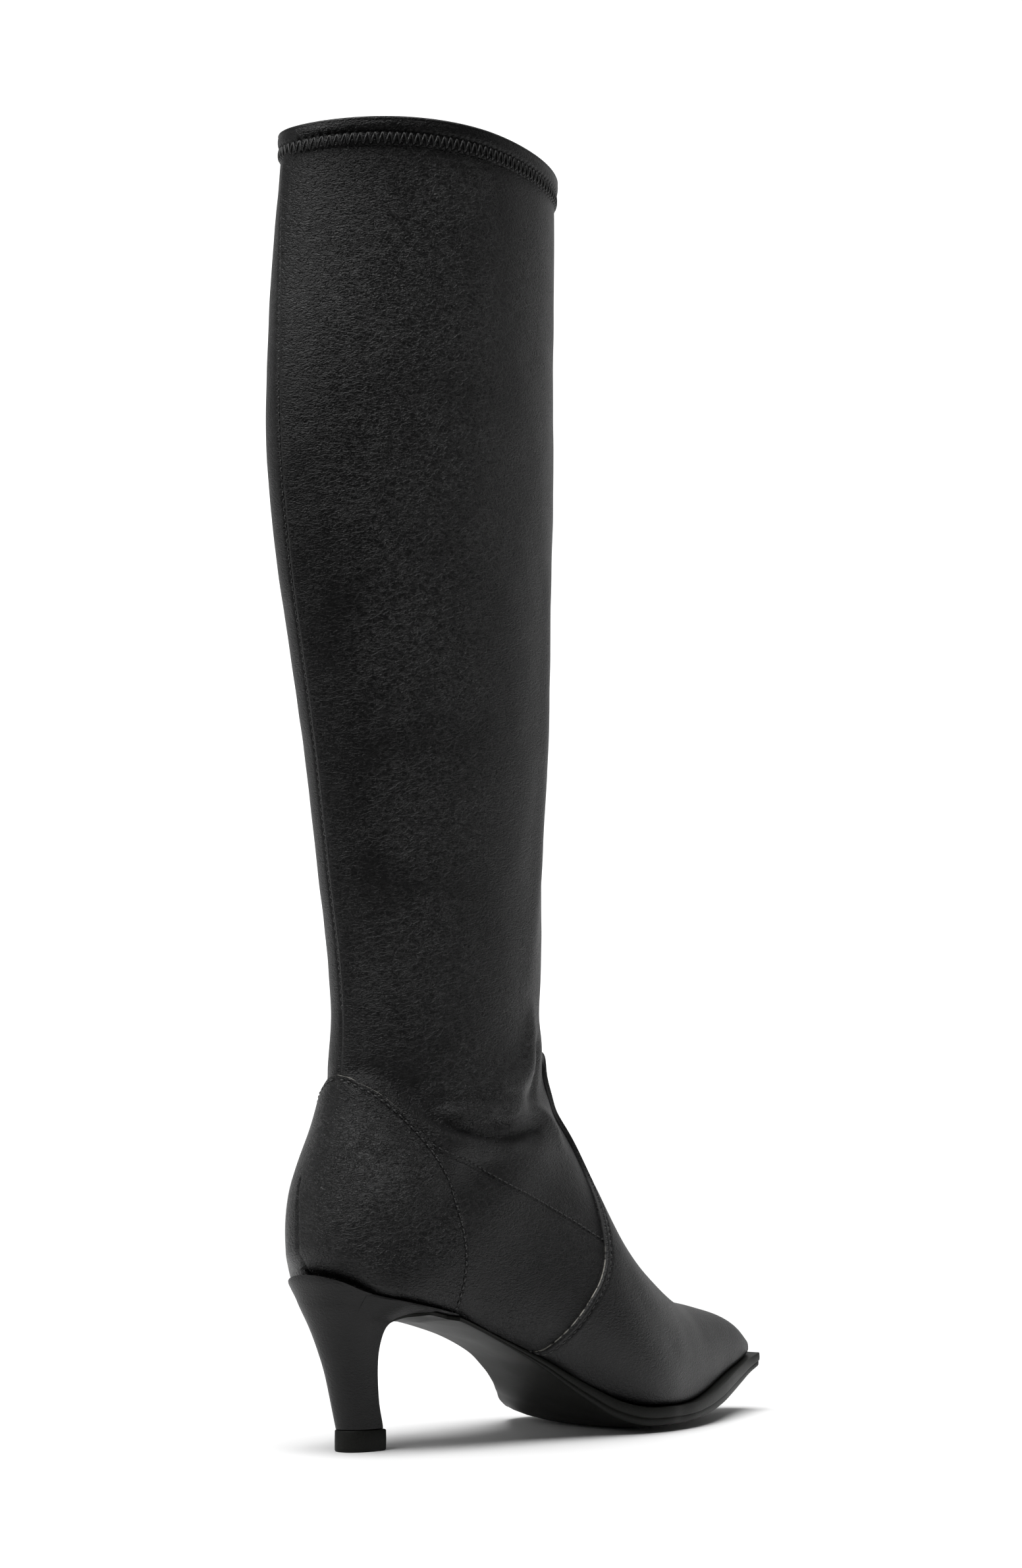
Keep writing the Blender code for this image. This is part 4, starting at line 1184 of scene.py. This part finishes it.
def forepart_rings():
    """Cross-sections of the sole from the tip of the toe to the end of the heel's wing."""
    stations = np.concatenate([
        [0.998, 0.9972, 0.9955],
        np.linspace(0.993, 0.90, 26),
        np.linspace(0.896, 0.45, 90),
        np.linspace(0.445, WING_END + 0.004, 40),
    ])
    rings = []
    for k, place in enumerate(stations):
        along = place * SOLE_LENGTH
        top, bottom = sole_value("top", along), sole_value("bottom", along)
        if place > 0.5:
            bottom = max(bottom, 0.0)
        thick = np.clip((top - bottom) / (0.1 * SEAT_HEIGHT), 0.12, 1)
        trim, dip = np.array(TIP_ROUNDING[min(k, 2)]) * MM
        outer, inner = sole_value("outer", along) - trim, sole_value("inner", along) - trim
        inner_roll = INNER_ROLL * ease(place, 0.47, 0.57) * (1 - ease(place, 0.64, 0.80))
        outer_roll = OUTER_ROLL * ease(place, 0.49, 0.58) * (1 - ease(place, 0.62, 0.90))
        bank = sole_value("bank", along)
        upper_point, lower_point = (along, top - dip), (along, bottom + dip)
        rings.append(sole_ring(upper_point, lower_point, outer, inner, bank, thick, inner_roll, outer_roll))
    return rings


def breast_rings():
    """Cross-sections of the thin sheet that goes on under the waist and down the breast of the heel."""
    near, far = [resampled(breast_line(out), np.linspace(1, 0.02, 80)) for out in (GAP, GAP + SHEET)]
    rings = []
    for inside, outside in zip(near, far):
        if inside[0] > (WING_END - 0.003) * SOLE_LENGTH:
            continue
        outer, inner = [cover_half(*inside, name) - SHEET_INSET for name in ("outer", "inner")]
        ring = sole_ring(inside, outside, outer, inner, 0.0, 0.15)
        rings.append([(a, s, h + wing_lip(a, s)) for a, s, h in ring])
    return rings


def make_outsole():
    rings = forepart_rings() + breast_rings()
    points = np.array(rings).reshape(-1, 3)
    faces = closed_faces(len(rings), len(rings[0]), turned=True)
    sole = finish_mesh("outsole_body", points, faces, sole_black, SHARP_EDGE)
    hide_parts("outsole")


def solid(name, rings):
    """Closed plain mesh through rings of equal length, to be joined or cut away."""
    rings = np.array(rings)
    mesh = bpy.data.meshes.new(name)
    mesh.from_pydata(to_frame(rings.reshape(-1, 3)).tolist(), [], closed_faces(*rings.shape[:2]))
    mesh.validate()
    corners = np.array([[mesh.vertices[i].co[:] for i in face.vertices[:3]] for face in mesh.polygons])
    if np.linalg.det(corners).sum() < 0:
        mesh.flip_normals()
    return added(name, mesh)


def cut(obj, other, operation="DIFFERENCE"):
    """Cut a solid out of an object, or join it; the solid is used up."""
    modifier = obj.modifiers.new("cut", "BOOLEAN")
    modifier.operation = operation
    modifier.solver = "EXACT"
    modifier.object = other
    graph = bpy.context.evaluated_depsgraph_get()
    obj.data = bpy.data.meshes.new_from_object(obj.evaluated_get(graph))
    obj.modifiers.clear()
    bpy.data.objects.remove(other)


HEEL_TOP = 0.072         # above everything of the heel
OUTSIDE = 0.12           # ahead of the heel and above the seat, where the cutting solids end
SEAT_FLARE = 0.0018      # how much the heel grows below the seat
REAR_PULL = 0.0018       # how far its back is drawn in again there
REAR_NARROW = 0.07       # and the share by which it gets narrower


def raw_heel():
    """Heel before its breast and its seat are cut."""
    low = np.linspace(LIFT_HEIGHT + GAP, 0.76 * SEAT_HEIGHT, 40)
    high = np.linspace(0.77, 1.10, 40) * SEAT_HEIGHT
    rings = []
    for height in np.concatenate([low, high]):
        ring = heel_outline(height, SEAT_FLARE * ease(height, 0.0500, 0.0600))
        pull = ease(height, 0.0480, 0.0610) * (1 - ease(ring[:, 0], 0.006, 0.022))
        ring[:, 0] += REAR_PULL * pull
        ring[:, 1] *= 1 - REAR_NARROW * pull
        rings.append(ring)
    return solid("heel_cover", rings)


def wing():
    """Part of the heel's cover that runs on under the waist."""
    rings = []
    for along in np.linspace(0.014, WING_END * SOLE_LENGTH + 0.001, 60):
        heights = np.linspace(0.040, float(sole_top(along, 0.0)) + 0.003, 26)
        outer = [(along, cover_half(along, h, "outer"), h) for h in heights]
        inner = [(along, -cover_half(along, h, "inner"), h) for h in heights]
        rings.append(outer + inner[::-1])
    return solid("wing", rings)


def before_breast():
    """All that lies in front of the breast and under the wing."""
    line = resampled(breast_line(), np.linspace(0, 1, 90))
    outline = [*line, (WING_END * SOLE_LENGTH, HEEL_TOP), (OUTSIDE, HEEL_TOP), (OUTSIDE, 0.0)]
    across = np.concatenate([[-0.09], np.linspace(-0.024, 0.024, 33), [0.09]])
    return solid("breast", [[(a, s, h + wing_lip(a, s)) for a, h in outline] for s in across])


def above_rim():
    """All that lies above the rim round the seat; the rim stands highest at the back."""
    sides = np.linspace(-1.0, 1.0, 97) * BALL_HALF
    rings = []
    for along in np.linspace(-0.03, 0.23, 110) * SOLE_LENGTH:
        stand = SEAT_RIM * (1.8 - 0.8 * ease(along, 0.005, 0.012))
        low = [(along, s, sole_top(along, s) + stand) for s in sides]
        rings.append(low + [(along, sides[-1], OUTSIDE), (along, sides[0], OUTSIDE)])
    return solid("above", rings)


def make_heel():
    heel = raw_heel()
    cut(heel, wing(), "UNION")
    cut(heel, before_breast())
    cut(heel, above_rim())
    mesh = heel.data
    mesh.polygons.foreach_set("use_smooth", np.ones(len(mesh.polygons), bool))
    mesh.set_sharp_from_angle(angle=0.6)
    mesh.materials.clear()
    mesh.materials.append(cover_leather)
    bevel = heel.modifiers.new("soft_edges", "BEVEL")
    bevel.width = 0.00035
    bevel.segments = 2
    bevel.limit_method = "ANGLE"
    bevel.angle_limit = SHARP_EDGE
    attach(heel, "root")
    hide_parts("heel")


LIFT_CORNER = 0.0012     # radius of the lift's front corners in plan
# Side of the lift, in metres: height and inset
LIFT_SIDE = (
    (0.0, 0.0005), (0.00015, 0.0002), (0.0005, 0.0), (0.0035, -0.00005),
    (LIFT_HEIGHT - 0.0004, 0.0), (LIFT_HEIGHT - 0.0001, 0.0002), (LIFT_HEIGHT, 0.0004),
)


def make_top_lift():
    back, front, half = LIFT[0] * SOLE_LENGTH, LIFT[1] * SOLE_LENGTH, LIFT[2] * BALL_HALF
    swing = np.linspace(0, pi / 2, 6)
    corner = np.stack([front - LIFT_CORNER + LIFT_CORNER * np.sin(swing),
                       half - LIFT_CORNER + LIFT_CORNER * np.cos(swing)], 1)
    round_part = round_back(back, (front - back) * 0.7, half, LIFT_POWER)[1:-1]
    outline = np.concatenate([corner[::-1], round_part, corner * np.array([1, -1])])
    middle = outline[:, 0].mean()
    rings = []
    for height, inset in LIFT_SIDE:
        scale = 1 - inset / half
        rings.append([(middle + (a - middle) * scale, s * scale, height) for a, s in outline])
    points = np.array(rings)
    faces = closed_faces(*points.shape[:2])
    lift = finish_mesh("top_lift_piece", points.reshape(-1, 3), faces, lift_black, SHARP_EDGE)
    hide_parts("top_lift")


def dress_insole():
    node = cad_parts["insole"]
    node.data.materials.clear()
    node.data.materials.append(insole_cover)


# Floor: its corners by distance ahead of the camera's side of the boot and distance aside, in metres
FLOOR_CORNERS = ((-0.15, -1.6), (-0.15, 1.6), (5.0, 3.5), (5.0, -3.5))
AHEAD, ASIDE = np.array([0.66, -0.75, 0.0]), np.array([-0.75, -0.66, 0.0])
GLOW_SIDE = (0.52, -0.82, 0.10)      # where the surroundings are brightest
BACKDROP = 1.3                       # their strength where the camera sees them
FOCAL_PIXELS, PHOTO_HEIGHT = 4941, 2380
SENSOR = 36
CAMERA_PLACE = (-0.7756, 0.8021, 0.1113)
CAMERA_WAY = (0.6573, -0.7466, 0.1023)


def aim(obj, way):
    """Turn a light or the camera to look along a direction."""
    obj.rotation_euler = Vector(way).to_track_quat("-Z", "Y").to_euler()


def area_light(name, place, target, size, power):
    light = bpy.data.lights.new(name, "AREA")
    light.shape = "RECTANGLE"
    light.size, light.size_y = size
    light.energy = power
    lamp = added(name, light)
    lamp.location = place
    aim(lamp, Vector(target) - Vector(place))


def make_surroundings():
    """Dim all round, with a broad glow beyond the boot, and a plain pale backdrop for the camera."""
    world = bpy.data.worlds.new("studio")
    bpy.context.scene.world = world
    world.use_nodes = True
    nodes = Nodes(world.node_tree)
    seen = nodes.node("ShaderNodeLightPath", {}, {}, "Is Camera Ray")
    ways = nodes.node("ShaderNodeTexCoord", {}, {}, "Generated")
    compared = {0: ways, 1: GLOW_SIDE}
    facing = nodes.node("ShaderNodeVectorMath", {"operation": "DOT_PRODUCT"}, compared, "Value")
    glow = nodes.ramp(facing, 0.15, 1.0, 0.032, 0.72)
    back = world.node_tree.nodes["Background"]
    nodes.feed(back.inputs["Color"], (1, 1, 1, 1))
    strength = nodes.node("ShaderNodeMix", {}, {"Factor": seen, "A": glow, "B": BACKDROP})
    nodes.feed(back.inputs["Strength"], strength)


def make_studio():
    mesh = bpy.data.meshes.new("floor")
    mesh.from_pydata([tuple(AHEAD * a + ASIDE * b) for a, b in FLOOR_CORNERS], [], [(0, 1, 2, 3)])
    mesh.materials.append(Look("pale_floor", (0.90, 0.90, 0.90), 0.9).material)
    floor = added("floor", mesh)
    make_surroundings()
    overhead = bpy.data.lights.new("overhead", "SUN")
    overhead.energy = 3.2
    overhead.angle = 0.9
    aim(added("overhead", overhead), (0.03, -0.06, -1.0))
    area_light("key_softbox", (-0.10, 0.85, 1.20), (0, -0.03, 0.20), (0.45, 0.45), 7)
    area_light("left_softbox", (1.0, 1.24, 0.75), (0, -0.06, 0.22), (0.7, 1.2), 5)
    bpy.context.scene.view_settings.view_transform = "Standard"


def make_camera():
    data = bpy.data.cameras.new("camera")
    data.lens = FOCAL_PIXELS / PHOTO_HEIGHT * SENSOR
    data.sensor_width = SENSOR
    data.clip_start = 0.01
    camera = added("camera", data)
    camera.location = CAMERA_PLACE
    aim(camera, CAMERA_WAY)
    bpy.context.scene.camera = camera


make_upper()
seam_stitches()
make_vamp()
make_counter()
make_quarters()
make_collar()
make_outsole()
make_heel()
make_top_lift()
dress_insole()
make_studio()
make_camera()
